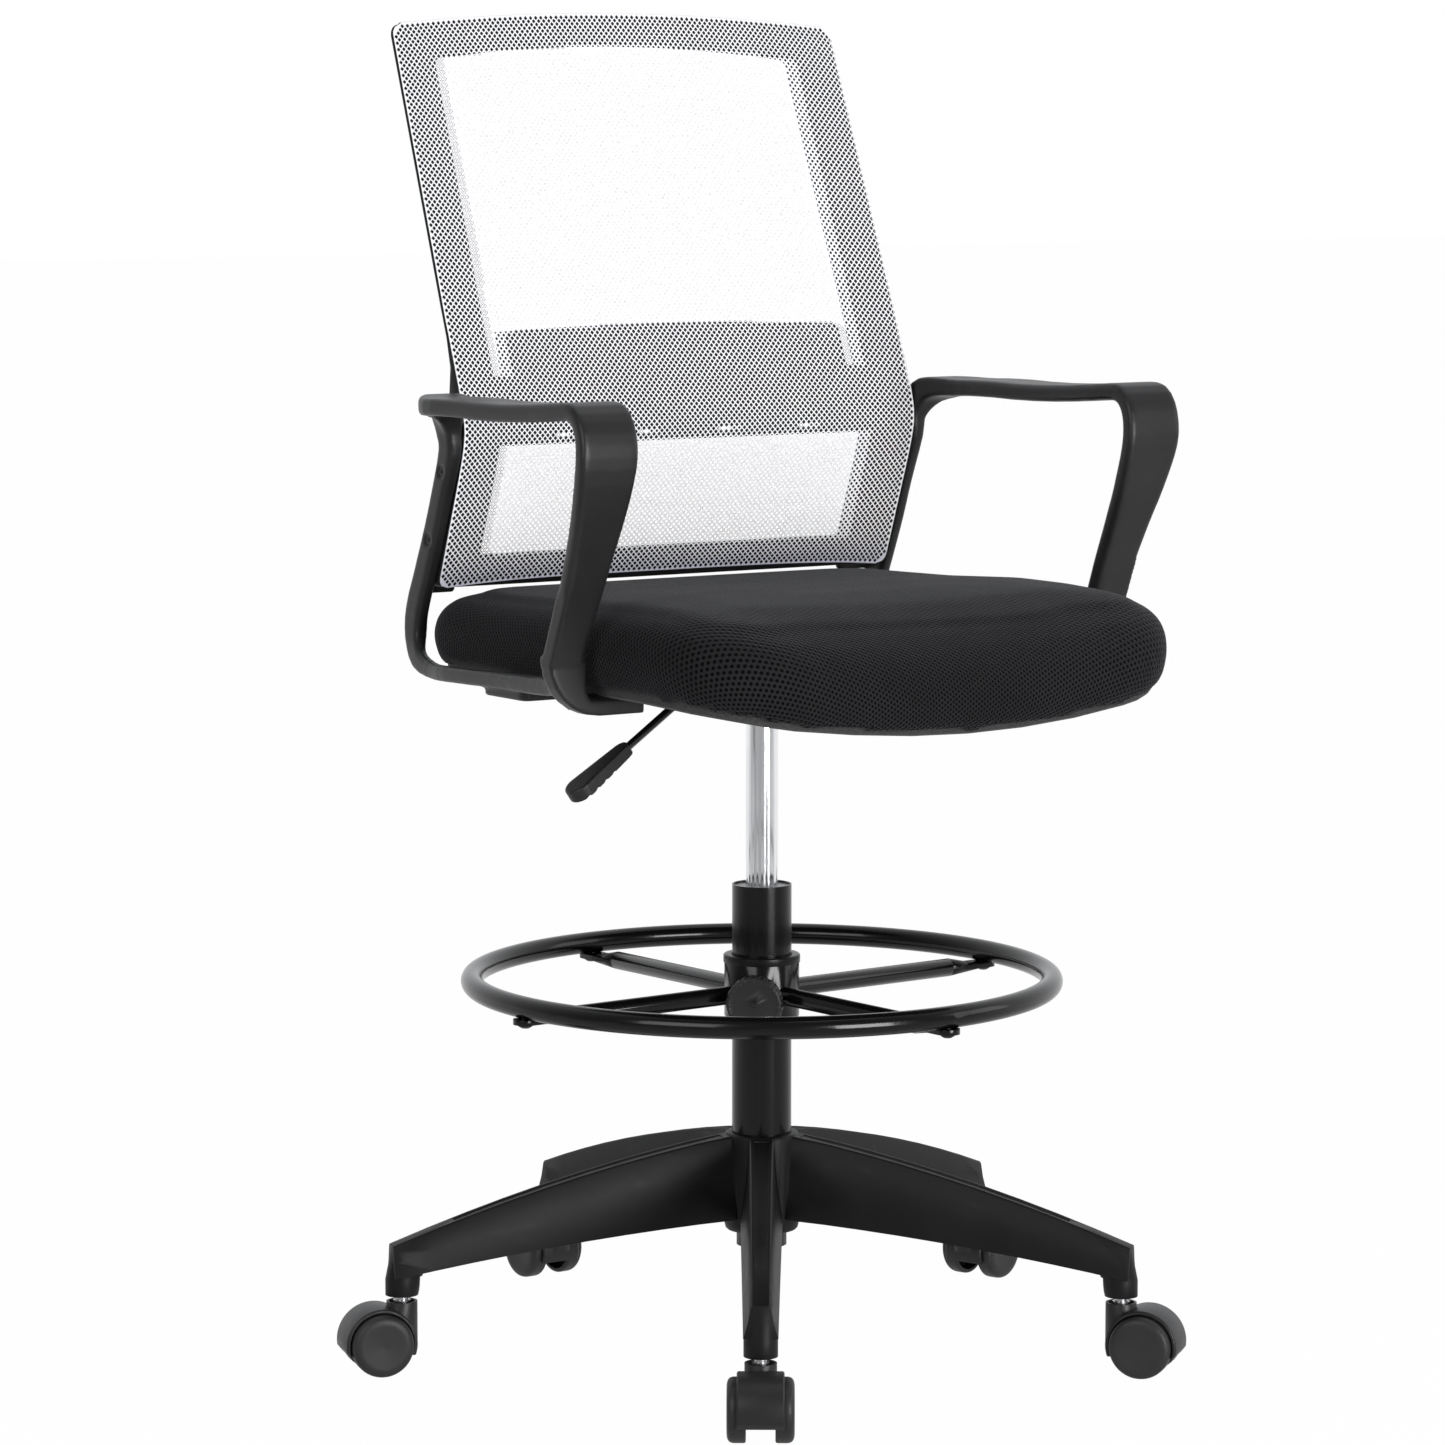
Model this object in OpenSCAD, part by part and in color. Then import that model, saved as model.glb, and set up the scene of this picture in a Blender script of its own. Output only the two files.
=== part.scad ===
// Drafting chair: five-star base on twin-wheel casters, gas lift, sliding foot ring,
// upholstered seat, closed loop arms and a mesh back.
// The floor is z = 0, the lift column stands on the Z axis and the sitter faces -Y.

/* [Base] */
// Distance from the column axis to each caster stem
base_r = 325; // [300:1:360]
// Direction of the first leg, seen from above
base_turn = 236; // [0:1:359]
// Height of the hub's top face
hub_top = 190; // [180:1:200]
// Height of the hub's bottom face
hub_bottom = 104; // [96:1:112]
// Radius of the hub
hub_r = 32.8; // [30:0.1:38]
// Height of the leg's top ridge where it leaves the hub
leg_root_top = 189; // [182:1:190]
// Height of the leg's top ridge at the tip
leg_tip_top = 110; // [106:1:122]
// Height of the leg's lower edge at the hub
leg_root_low = 116; // [110:1:122]
// Height of the leg's lower edge at the tip
leg_tip_low = 82.5; // [79:0.5:90]
// Rise of the leg's top between hub and tip
leg_arch = 7.6; // [0:0.1:9]
// Width of the ridge at the hub
ridge_w = 18.4; // [15:0.1:22]
// Width of the leg's lower edge at the hub
leg_w = 37; // [32:0.5:42]
// Wall of the legs, which are open below
leg_wall = 3.2; // [2.5:0.1:4.5]
// Thickness of the ribs inside the legs
rib_t = 2.4; // [1.8:0.1:3.5]
// Radius of the socket boss at each leg's tip
boss_r = 14.2; // [12.5:0.1:16]
// Height of the boss's bottom face
boss_bottom = 66.4; // [65:0.1:72]

/* [Casters] */
// Radius of the wheels
wheel_r = 27; // [24:0.5:28]
// Width of one wheel
wheel_w = 15.8; // [13:0.1:18]
// Space between the two wheels of a caster
wheel_gap = 24; // [22:0.5:28]
// Distance from the stem to the wheels' axle
trail = 22; // [18:0.5:24]
// Radial space between a wheel and its fender
fender_gap = 1.3; // [0.8:0.1:2]
// Wall of the fender over the wheels
fender_wall = 3; // [2:0.1:4]
// Width of the hood with its fenders
hood_w = 39; // [34:0.5:44]
// Height at which the hood ends above the floor
hood_low = 17; // [14:0.5:20]
// Radius of the hood's round neck
neck_r = 13.4; // [11:0.1:15]
// Height of the neck's top face
neck_top = 61; // [60:0.1:63]
// Radius of the caster stem
stem_r = 5.5; // [4:0.1:6]
// Length of stem inside the leg
stem_grip = 22; // [16:1:28]
// Radius of the wheel axle
axle_r = 3; // [2.5:0.1:4]

/* [Gas lift] */
// Radius of the outer tube
tube_r = 26; // [24:0.1:27]
// Radius of the outer tube at its lower end
tube_end_r = 22; // [20:0.1:22.5]
// Height of the outer tube's lower end
tube_bottom = 90; // [86:1:96]
// Height of the outer tube's top
tube_top = 409; // [395:1:425]
// Wall of the outer tube
tube_wall = 1.6; // [1.2:0.1:2.5]
// Radius of the sliding cylinder
lift_r = 14; // [13:0.1:15]
// Height of the sliding cylinder's lower end
lift_bottom = 202; // [202:1:206]
// Length of the guide bush in the top of the outer tube
bush_l = 90; // [60:1:100]
// Radius of the piston rod
rod_r = 5; // [4:0.1:6]
// Radius of the release button
button_r = 4; // [3:0.1:5]
// Length of the taper that holds the seat plate
taper_l = 26; // [20:1:30]
// Radius lost along the taper
taper_drop = 0.8; // [0.4:0.1:1.2]

/* [Foot ring] */
// Radius of the ring at the middle of its tube
ring_r = 252.8; // [220:0.2:270]
// Radius of the ring's tube
ring_tube_r = 9.5; // [8:0.1:12]
// Height of the ring at the middle of its tube
ring_z = 325.5; // [320:0.5:336]
// Wall of the ring's tube and of the spokes
ring_wall = 1.5; // [1.2:0.1:2.5]
// Radius of the spokes
spoke_r = 8; // [6.5:0.1:9]
// Turn of the ring about the column
ring_turn = 4; // [0:1:89]
// Radius of the collar round the column
collar_r = 32.8; // [31:0.1:38]
// Height of the collar
collar_h = 48; // [42:1:56]
// Height of the cap on the collar
cap_h = 7; // [4:0.5:10]
// Radius of the clamp knob
knob_r = 24.5; // [20:0.5:27]
// Depth of the clamp knob
knob_d = 17; // [12:0.5:22]
// Radius of the clamp screw
screw_r = 4; // [3:0.1:5]

/* [Seat] */
// Width of the seat cushion
seat_w = 500; // [440:1:560]
// Place of the cushion's rear edge behind the column
seat_rear = 196; // [185:1:196]
// Place of the cushion's front edge ahead of the column
seat_front = 306; // [280:1:320]
// How far the front edge bulges at the middle
seat_bulge = 14; // [0:1:20]
// Height of the seat pan's underside
pan_z = 597; // [590:1:605]
// Thickness of the seat pan
pan_t = 11; // [9:0.5:14]
// Inset of the pan from the cushion's outline
pan_inset = 15; // [12:1:25]
// Height of the cushion above the pan's underside
cushion_h = 73; // [60:1:76]
// Drop of the seat's front edge
front_drop = 28; // [10:1:34]
// Share of that drop lost at the seat's sides
side_lift = 0.85; // [0:0.05:0.9]
// Radius of the seat's front corners seen from above
seat_corner = 83; // [70:1:100]
// Radius of the seat's rear corners seen from above
rear_corner = 76; // [68:1:90]

/* [Seat plate] */
// Width of the seat plate
plate_w = 184; // [170:1:200]
// Length of the seat plate
plate_l = 210; // [196:1:230]
// Sheet thickness of the seat plate
plate_t = 2.5; // [2:0.1:3.5]
// Spacing of the plate's bolts across the seat
bolt_x = 150; // [140:1:156]
// Spacing of the plate's bolts along the seat
bolt_y = 170; // [150:1:178]
// Radius of the bolts that hold the plate and the arms
bolt_r = 3; // [2.5:0.1:3.5]
// Depth of the lever housing under the plate
box_h = 34; // [32:0.5:38]

/* [Lever] */
// Radius of the lever's rod
lever_r = 3.5; // [3:0.1:4]
// Length of the sloping part of the rod outside the paddle
lever_l = 88; // [70:1:110]
// Slope of the rod below the level
lever_slope = 34.5; // [20:0.5:40]
// Length of the paddle
paddle_l = 67; // [50:1:76]
// Width of the paddle at its round end
paddle_w = 27; // [22:0.5:32]
// Thickness of the paddle
paddle_t = 12; // [10:0.5:14]

/* [Arms] */
// Height of the armrest above the pan's underside
arm_h = 244; // [220:1:270]
// Place of the arm's foremost point ahead of the column
arm_front = 195; // [180:1:210]
// Place of the arm's front foot ahead of the column
foot_front = 125; // [115:1:132]
// Distance from the seat's side to the armrest's outer edge
arm_reach = 54; // [46:1:62]
// Width of the armrest
pad_w = 54; // [46:1:58]
// Width of the front post at its foot
post_w = 35; // [28:1:38]
// Thickness of the arm
arm_t = 15; // [12:0.5:17]
// Thickness of the rear post along the chair's side
rear_post_w = 13; // [11:0.5:15]
// Reach of the feet in from the outer edge
foot_reach = 104; // [90:1:110]
// Radius of the front post's swept lower corner
foot_sweep = 48; // [30:1:50]
// Length of the lip behind the back's lower corner
lip_l = 42; // [20:1:46]
// Height of that lip
lip_h = 9.5; // [6:0.5:10]
// Thickness of that lip
lip_t = 6; // [4:0.5:8]

/* [Back] */
// Step in from the seat's side to the back's side
back_step = 14; // [13:0.5:30]
// How much narrower the back is at its top
back_narrow = 10; // [0:1:40]
// Height of the frame's lower edge
back_low = 668; // [667:1:676]
// Height of the frame's top edge at its corners
back_top = 1152; // [1100:1:1200]
// Rise of the top edge at the middle
top_arch = 11; // [0:1:20]
// Height at which the back comes furthest forward
lumbar_z = 804; // [795:1:815]
// Place of the foremost line of the back behind the column
lumbar_y = 98.5; // [98:0.5:104]
// Slope of the back above and below that line
back_slope = 0.39; // [0.37:0.01:0.41]
// Roundness of the bend at that line
lumbar_round = 7; // [3:1:12]
// Width of the frame's side members
side_w = 45; // [38:1:54]
// Width of the frame's top member
top_w = 29; // [24:1:46]
// Width of the frame's lower member
low_w = 25; // [20:1:46]
// Depth of the frame beside the arms
edge_d = 21; // [18:0.5:24]
// Depth of the frame's edge above the arms
thin_d = 4; // [3:0.5:12]
// How far the frame's face falls back towards the windows
face_fall = 10; // [6:1:24]
// Height of the lumbar bar's lower edge
bar_low = 790; // [780:1:800]
// Height of the lumbar bar's top edge at its ends
bar_top = 886; // [876:1:900]
// Thickness of the mesh
mesh_t = 1.2; // [0.8:0.1:2]
// How far the mesh sags back between the side members
mesh_sag = 8; // [4:1:14]

/* [Hidden] */
$fn = 48;

leg_count = 5;
spoke_count = 4;

// Clearances: a running fit, a drilled hole over a bolt, and a bolt head's seat
fit = 0.05;
drill = 0.25;
eps = 0.01;

// Column heights
tube_plate = 3;
bearing_h = 9;
socket_top = pan_z - plate_t - 16.5;
lift_top = socket_top + 1;
button_top = lift_top + 3;
lever_z = button_top + 0.4 + lever_r;
piston_top = lift_bottom + 142;

// Collar of the foot ring
collar_bottom = ring_z - 33;
spoke_z = ring_z - ring_tube_r - 2;
knob_z = ring_z - 14.5;
knob_turn = ring_turn + 225;
knob_seat = collar_r + 7;

// Seat outline
seat_mid = (seat_rear - seat_front) / 2;
drop_start = 166;
rim_z = 1;
seat_gap = 0.3;
seat_deep = (seat_w - plate_w) / 2 - 4;
seat_mild = seat_deep / 2 + 20;

// Lever
pivot_x = 21.5;
box_w = 92;
box_l = 84;
lever_bend = box_w / 2 + 22;

// Arms
arm_top = pan_z + arm_h;
arm_out = seat_w / 2 + arm_reach;
pad_in = arm_out - pad_w;
foot_t = 14;
foot_depth = 46;
rear_foot_y = -34;
rear_foot_l = 69;
arm_bolt_x = arm_out - foot_reach + 15;
front_bolts = [-foot_front + 12, -foot_front + 34];
rear_bolts = [rear_foot_y + 14, rear_foot_y + rear_foot_l - 14];

// Back
back_w = seat_w - 2 * back_step;
lip_gap = 4;
back_corner = 10.2;
back_levels = 18;
mesh_in = 1.2;

function mix(a, b, u) = a + (b - a) * u;
function clamp(v, lo, hi) = min(max(v, lo), hi);
function turned(a) = [cos(a), sin(a)];

// Place of the back's front edge at a height
function back_y(z) = lumbar_y + norm([back_slope * (z - lumbar_z), lumbar_round]);

// Half width of the back at a height
function back_half(z) = (back_w - back_narrow * clamp((z - 900) / (back_top - 900), 0, 1)) / 2;

// A point of a Catmull-Rom curve between b and c
function curve_point(a, b, c, d, t) =
    b + t / 2 * ((c - a) + t * ((2 * a - 5 * b + 4 * c - d) + t * (3 * b - a - 3 * c + d)));

// A smooth closed run of rows through a list of rows
function smooth_loop(rows, steps) = let (n = len(rows)) [
    for (i = [0:n - 1], k = [0:steps - 1])
        curve_point(rows[(i + n - 1) % n], rows[i], rows[(i + 1) % n], rows[(i + 2) % n], k / steps)
];

// Corner points of a rounded rectangle between two corners
function round_box(lo, hi, r, n = 4) = [
    for (q = [0:3], k = [0:n - 1])
        let (
            a = 90 * q + 90 * k / (n - 1),
            cx = (q == 0 || q == 3) ? hi[0] - r : lo[0] + r,
            cy = (q < 2) ? hi[1] - r : lo[1] + r
        )
        [cx + r * cos(a), cy + r * sin(a)]
];

// Mean of a list of points
function middle(points) = [for (k = [0:len(points) - 1]) 1] * points / len(points);

// Solid through a list of rings; each ring runs anticlockwise seen from the last one.
// The side faces are split along one diagonal or, crossed, along the other
module skin(rings, closed = false, crossed = false) {
    n = len(rings);
    m = len(rings[0]);
    last = closed ? n - 1 : n - 2;
    sides = [
        for (i = [0:last], j = [0:m - 1])
            let (k = (i + 1) % n, l = (j + 1) % m)
            each crossed
                ? [[i * m + j, k * m + j, i * m + l], [k * m + j, k * m + l, i * m + l]]
                : [[i * m + j, k * m + j, k * m + l], [i * m + j, k * m + l, i * m + l]]
    ];
    ends = closed ? [] : [
        for (j = [0:m - 1])
            let (l = (j + 1) % m, t = (n - 1) * m)
            each [[j, l, n * m], [t + l, t + j, n * m + 1]]
    ];
    middles = closed ? [] : [middle(rings[0]), middle(rings[n - 1])];
    polyhedron(concat([for (r = rings) each r], middles), concat(sides, ends), convexity = 10);
}

// Solid between two grids of points: the front one, rows upward and points to the right,
// and the rear one behind it
module slab(front, rear) {
    n = len(front);
    m = len(front[0]);
    far = n * m;
    faces = [
        for (i = [0:n - 2], j = [0:m - 2])
            let (a = i * m + j, b = a + 1, c = a + m, d = c + 1)
            each [
                [a, c, d], [a, d, b],
                [far + a, far + d, far + c], [far + a, far + b, far + d]
            ]
    ];
    level = [
        for (j = [0:m - 2])
            let (t = (n - 1) * m + j)
            each [
                [j, j + 1, far + j + 1], [j, far + j + 1, far + j],
                [t, far + t, far + t + 1], [t, far + t + 1, t + 1]
            ]
    ];
    upright = [
        for (i = [0:n - 2])
            let (a = i * m, b = a + m, c = a + m - 1, d = b + m - 1)
            each [
                [a, far + a, far + b], [a, far + b, b],
                [c, d, far + d], [c, far + d, far + c]
            ]
    ];
    polyhedron(
        concat([for (r = front) each r], [for (r = rear) each r]),
        concat(faces, level, upright), convexity = 10
    );
}

// Flat ring between two radii
module washer(r_out, r_in, h) {
    rotate_extrude()
        translate([r_in, 0])
            square([r_out - r_in, h]);
}

// ---------------------------------------------------------------- base

// Outline of a leg's cross-section at a distance from the column, shrunk by a wall
function leg_ring(r, wall) =
    let (
        u = clamp((r - hub_r) / (base_r + 9 - hub_r), 0, 1),
        arch = 4 * u * (1 - u),
        top = mix(leg_root_top, leg_tip_top, u) + leg_arch * arch - wall,
        low = mix(leg_root_low, leg_tip_low, u) + 0.55 * leg_arch * arch - (wall > 0 ? 5 : 0),
        half_top = mix(ridge_w, 13.6, u) / 2 - wall * 0.9,
        half_low = mix(leg_w, 29, u) / 2 - wall
    )
    [
        [r, half_low, low], [r, mix(half_low, half_top, 0.55), mix(low, top, 0.5)],
        [r, half_top + (wall > 0 ? 0 : 1.4), top - 1.8], [r, half_top, top],
        [r, -half_top, top], [r, -half_top - (wall > 0 ? 0 : 1.4), top - 1.8],
        [r, -mix(half_low, half_top, 0.55), mix(low, top, 0.5)], [r, -half_low, low]
    ];

// One leg along +X: arched on top, open and ribbed below, with the stem socket at its tip
module leg() {
    tip = base_r + 9;
    cell = (base_r - boss_r - hub_r - 16) / 5;
    difference() {
        union() {
            skin([for (k = [0:9]) leg_ring(mix(hub_r - 4, tip, k / 9), 0)]);
            difference() {
                hull() {
                    translate([base_r, 0, boss_bottom])
                        cylinder(h = 14, r = boss_r, $fn = 32);
                    translate([base_r, 0, leg_tip_top - 8])
                        cylinder(h = 5.5, r = boss_r - 5.5, $fn = 32);
                    translate([base_r - 18, 0, leg_tip_top - 4])
                        cylinder(h = 4, r = 6, $fn = 32);
                }
                translate([base_r - 60, -30, 0])
                    cube([60 - boss_r, 60, leg_tip_low]);
            }
        }
        // Channel along the ridge
        skin([for (k = [0:6]) channel_ring(mix(hub_r + 4, base_r - 46, k / 6))]);
        // Open underside between the cross ribs
        for (k = [0:4])
            difference() {
                skin([
                    for (e = [0, 1])
                        leg_ring(hub_r + 10 + cell * (k + e) + (e == 0 ? rib_t / 2 : -rib_t / 2), leg_wall)
                ]);
                translate([0, -rib_t / 2, 0])
                    cube([base_r, rib_t, hub_top]);
            }
        translate([base_r, 0, boss_bottom - 1])
            cylinder(h = stem_grip + 3, r = stem_r + fit);
    }
}

// Cross-section of the channel in a leg's ridge
function channel_ring(r) =
    let (
        u = clamp((r - hub_r) / (base_r + 9 - hub_r), 0, 1),
        top = mix(leg_root_top, leg_tip_top, u) + 4 * leg_arch * u * (1 - u) - 1.4,
        half = mix(ridge_w, 13.6, u) / 2 - 2.4
    )
    [[r, half, top], [r, half + 1, top + 5], [r, -half - 1, top + 5], [r, -half, top]];

module base_star() {
    color("#26272a")
        difference() {
            union() {
                for (k = [0:leg_count - 1])
                    rotate([0, 0, base_turn + k * 360 / leg_count])
                        leg();
                rotate_extrude()
                    polygon([
                        [10, hub_bottom + 1.5], [hub_r - 2.5, hub_bottom], [hub_r - 1, hub_bottom + 1.5],
                        [hub_r, leg_root_low - 6], [hub_r, hub_top - 3], [hub_r - 1, hub_top - 0.9],
                        [hub_r - 3, hub_top], [10, hub_top]
                    ]);
            }
            column_solid(0);
        }
}

// ---------------------------------------------------------------- casters

// Places its children in a caster's frame: stem axis at the origin, trailing along +X
module at_caster(i) {
    rotate([0, 0, base_turn + (i - 1) * 360 / leg_count])
        translate([base_r, 0, 0])
            children();
}

// A cylinder along Y, centred
module cross_rod(r, l, $fn = 48) {
    rotate([90, 0, 0])
        translate([0, 0, -l / 2])
            cylinder(h = l, r = r);
}

module caster_hood(i) {
    pocket_r = wheel_r + fender_gap;
    hood_r = pocket_r + fender_wall;
    web = wheel_gap - 1.2;
    color("#2b2c2f")
        at_caster(i)
            difference() {
                union() {
                    difference() {
                        translate([trail, 0, wheel_r])
                            rotate([90, 0, 0])
                                rotate_extrude()
                                    polygon([
                                        [0, -hood_w / 2], [hood_r - 1.2, -hood_w / 2],
                                        [hood_r, 1.2 - hood_w / 2], [hood_r, hood_w / 2 - 1.2],
                                        [hood_r - 1.2, hood_w / 2], [0, hood_w / 2]
                                    ]);
                        for (s = [-1, 1])
                            translate([trail, s * (web + hood_w) / 2, wheel_r])
                                cross_rod(pocket_r, hood_w);
                    }
                    translate([trail, 0, wheel_r])
                        cross_rod(axle_r + 4, wheel_gap - 0.4);
                    translate([0, 0, wheel_r])
                        cylinder(h = neck_top - wheel_r, r = neck_r);
                }
                // Wheels' room under the neck
                for (s = [-1, 1])
                    translate([trail, s * (web + hood_w) / 2, wheel_r])
                        cross_rod(pocket_r, hood_w);
                translate([trail - hood_r - 5, -hood_w, hood_low - 30])
                    cube([2 * hood_r + 10, 2 * hood_w, 30]);
                // Slanted rear lip
                translate([trail + hood_r, 0, hood_low - 4])
                    rotate([0, -52, 0])
                        cube([30, 2 * hood_w, 12], center = true);
                translate([0, 0, neck_top - 2.5])
                    cylinder(h = 5, r = neck_r - 2.2);
                translate([0, 0, wheel_r + 6])
                    cylinder(h = neck_top, r = stem_r);
                translate([trail, 0, wheel_r])
                    cross_rod(axle_r, hood_w);
            }
}

module caster_stem(i) {
    color("#c4c6c9")
        at_caster(i) {
            rotate_extrude()
                polygon([
                    [0, wheel_r + 6], [stem_r, wheel_r + 6], [stem_r, neck_top - 2.5],
                    [stem_r + 2, neck_top - 2.5], [stem_r + 2, neck_top + 1], [stem_r, neck_top + 1],
                    [stem_r, boss_bottom + stem_grip - 7], [stem_r - 0.8, boss_bottom + stem_grip - 6],
                    [stem_r - 0.8, boss_bottom + stem_grip - 4], [stem_r, boss_bottom + stem_grip - 3],
                    [stem_r - 1.2, boss_bottom + stem_grip], [0, boss_bottom + stem_grip]
                ]);
        }
}

module caster_axle(i) {
    color("#9a9ca0")
        at_caster(i)
            translate([trail, 0, wheel_r])
                cross_rod(axle_r, wheel_gap + 2 * wheel_w - 5);
}

// One wheel: a dished disc with a rounded tread and a blind hub; side is -1 or 1
module wheel(i, side) {
    face = wheel_gap / 2 + wheel_w;
    color("#2f3033")
        at_caster(i)
            translate([trail, 0, wheel_r])
                rotate([-90 * side, 0, 0])
                        rotate_extrude()
                            polygon([
                                [axle_r + fit, wheel_gap / 2], [axle_r + 4, wheel_gap / 2],
                                [axle_r + 4, face - 5], [wheel_r - 4, face - 5],
                                [wheel_r - 4, wheel_gap / 2], [wheel_r - 1, wheel_gap / 2],
                                [wheel_r, wheel_gap / 2 + 1], [wheel_r, face - 5.5],
                                [wheel_r - 0.5, face - 3.2], [wheel_r - 2, face - 1.4],
                                [wheel_r - 4, face - 0.5], [wheel_r - 7, face],
                                [0, face - 1.2], [0, face - 2.4], [axle_r + fit, face - 2.4]
                            ]);
}

// ---------------------------------------------------------------- gas lift

// The outer tube's outside as a solid, grown by a clearance
module column_solid(grow) {
    rotate_extrude()
        polygon([
            [0, tube_bottom], [tube_end_r + grow, tube_bottom], [tube_end_r + grow, hub_bottom],
            [tube_r + grow, hub_top], [tube_r + grow, tube_top], [0, tube_top]
        ]);
}

module column_tube() {
    color("#17181a")
        difference() {
            column_solid(0);
            rotate_extrude()
                polygon([
                    [0, tube_bottom + tube_plate], [tube_end_r - tube_wall, tube_bottom + tube_plate],
                    [tube_end_r - tube_wall, hub_bottom], [tube_r - tube_wall, hub_top],
                    [tube_r - tube_wall, tube_top - 1], [tube_r - 0.8, tube_top + 1], [0, tube_top + 1]
                ]);
            cylinder(h = tube_bottom + 2 * tube_plate, r = rod_r + 1);
        }
}

module guide_bush() {
    color("#a9abae")
        translate([0, 0, tube_top - 2 - bush_l])
            difference() {
                cylinder(h = bush_l, r = tube_r - tube_wall);
                translate([0, 0, -1])
                    cylinder(h = bush_l + 2, r = lift_r + fit);
            }
}

// Ball thrust bearing that carries the piston rod and lets the chair turn
module thrust_bearing() {
    race = 2.6;
    ball = bearing_h / 2 - race + 0.3;
    color("#b9bbbe")
        translate([0, 0, tube_bottom + tube_plate]) {
            washer(rod_r + 9, rod_r + 1, race);
            translate([0, 0, bearing_h - race])
                washer(rod_r + 9, rod_r + 1, race);
            for (k = [0:7])
                rotate([0, 0, 45 * k])
                    translate([rod_r + 5, 0, bearing_h / 2])
                        sphere(r = ball, $fn = 24);
        }
}

module piston_rod() {
    seat = tube_bottom + tube_plate + bearing_h + fit;
    color("#d6d8da")
        rotate_extrude()
            polygon([
                [0, tube_bottom - 6], [rod_r, tube_bottom - 6], [rod_r, tube_bottom - 3.6],
                [rod_r - 1, tube_bottom - 3.6], [rod_r - 1, tube_bottom - 2.2], [rod_r, tube_bottom - 2.2],
                [rod_r, seat], [rod_r + 6, seat], [rod_r + 6, seat + 3], [rod_r, seat + 3],
                [rod_r, piston_top], [lift_r - 1.6, piston_top], [lift_r - 1.6, piston_top + 8],
                [0, piston_top + 8]
            ]);
}

module retaining_clip() {
    color("#8d8f93")
        translate([0, 0, tube_bottom - 3.5])
            difference() {
                washer(rod_r + 4, rod_r - 1, 1.2);
                translate([0, -1.6, -1])
                    cube([rod_r + 6, 3.2, 4]);
            }
}

// Chrome cylinder with its end cap and, at the top, the taper and the valve
module gas_cylinder() {
    color("#e3e5e8")
        difference() {
            rotate_extrude()
                polygon([
                    [0, lift_bottom], [lift_r - 1, lift_bottom], [lift_r, lift_bottom + 1],
                    [lift_r, lift_top - taper_l - 1], [lift_r - taper_drop, lift_top - 1],
                    [lift_r - taper_drop - 1, lift_top], [0, lift_top]
                ]);
            translate([0, 0, lift_bottom + 8])
                cylinder(h = lift_top - taper_l - 50 - lift_bottom, r = lift_r - 1.5);
            translate([0, 0, lift_bottom - 1])
                cylinder(h = 20, r = rod_r + fit);
            translate([0, 0, lift_top - 12])
                cylinder(h = 20, r = button_r + fit);
        }
}

module release_button() {
    color("#b5b8bb")
        rotate_extrude()
            polygon([
                [0, lift_top - 8], [button_r, lift_top - 8], [button_r, button_top - 0.8],
                [button_r - 0.8, button_top], [0, button_top]
            ]);
}

// ---------------------------------------------------------------- foot ring

module foot_ring() {
    color("#0e0f10")
        translate([0, 0, ring_z])
            rotate([0, 0, ring_turn])
                difference() {
                    rotate_extrude($fn = 96)
                        translate([ring_r, 0])
                            circle(r = ring_tube_r);
                    rotate_extrude($fn = 96)
                        translate([ring_r, 0])
                            circle(r = ring_tube_r - ring_wall);
                    for (k = [0:spoke_count - 1])
                        rotate([0, 0, 90 * k])
                            translate([ring_r, 0, -ring_tube_r - 1])
                                cylinder(h = ring_tube_r, r = bolt_r);
                }
}

// A spoke along +X: round tube, then flattened under the ring
module spoke() {
    flat_w = 2 * spoke_r + 5;
    flat_t = 4.5;
    flat_in = ring_r - 15;
    flat_top = ring_z - ring_tube_r;
    translate([collar_r - 2, 0, spoke_z])
        rotate([0, 90, 0])
            cylinder(h = flat_in - 26 - collar_r + 2, r = spoke_r);
    hull() {
        translate([flat_in - 26, 0, spoke_z])
            rotate([0, 90, 0])
                cylinder(h = 0.5, r = spoke_r, $fn = 32);
        translate([flat_in, -flat_w / 2, flat_top - flat_t])
            cube([0.5, flat_w, flat_t]);
    }
    difference() {
        union() {
            translate([flat_in, -flat_w / 2, flat_top - flat_t])
                cube([15, flat_w, flat_t]);
            translate([ring_r, 0, flat_top - flat_t])
                cylinder(h = flat_t, r = flat_w / 2);
        }
        translate([ring_r, 0, flat_top - flat_t - 1])
            cylinder(h = flat_t + 2, r = bolt_r);
    }
}

module ring_hub() {
    bush_out = tube_r + 3;
    color("#121315")
        rotate([0, 0, ring_turn])
            difference() {
                union() {
                    translate([0, 0, collar_bottom])
                        rotate_extrude()
                            polygon([
                                [bush_out, 0], [collar_r - 1, 0], [collar_r, 1], [collar_r, collar_h],
                                [bush_out, collar_h]
                            ]);
                    for (k = [0:spoke_count - 1])
                        rotate([0, 0, 90 * k])
                            spoke();
                    rotate([0, 0, 225])
                        translate([tube_r + 4, 0, knob_z])
                            rotate([0, 90, 0])
                                cylinder(h = knob_seat - tube_r - 4.5, r = screw_r + 6);
                }
                translate([0, 0, collar_bottom - 1])
                    cylinder(h = collar_h + 2, r = bush_out);
                for (k = [0:spoke_count - 1])
                    rotate([0, 0, 90 * k])
                        translate([bush_out - 3, 0, spoke_z])
                            rotate([0, 90, 0])
                                cylinder(h = ring_r - 50 - bush_out, r = spoke_r - ring_wall);
                rotate([0, 0, 225])
                    translate([0, 0, knob_z])
                        rotate([0, 90, 0])
                            cylinder(h = knob_seat + 5, r = screw_r + fit);
            }
}

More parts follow.
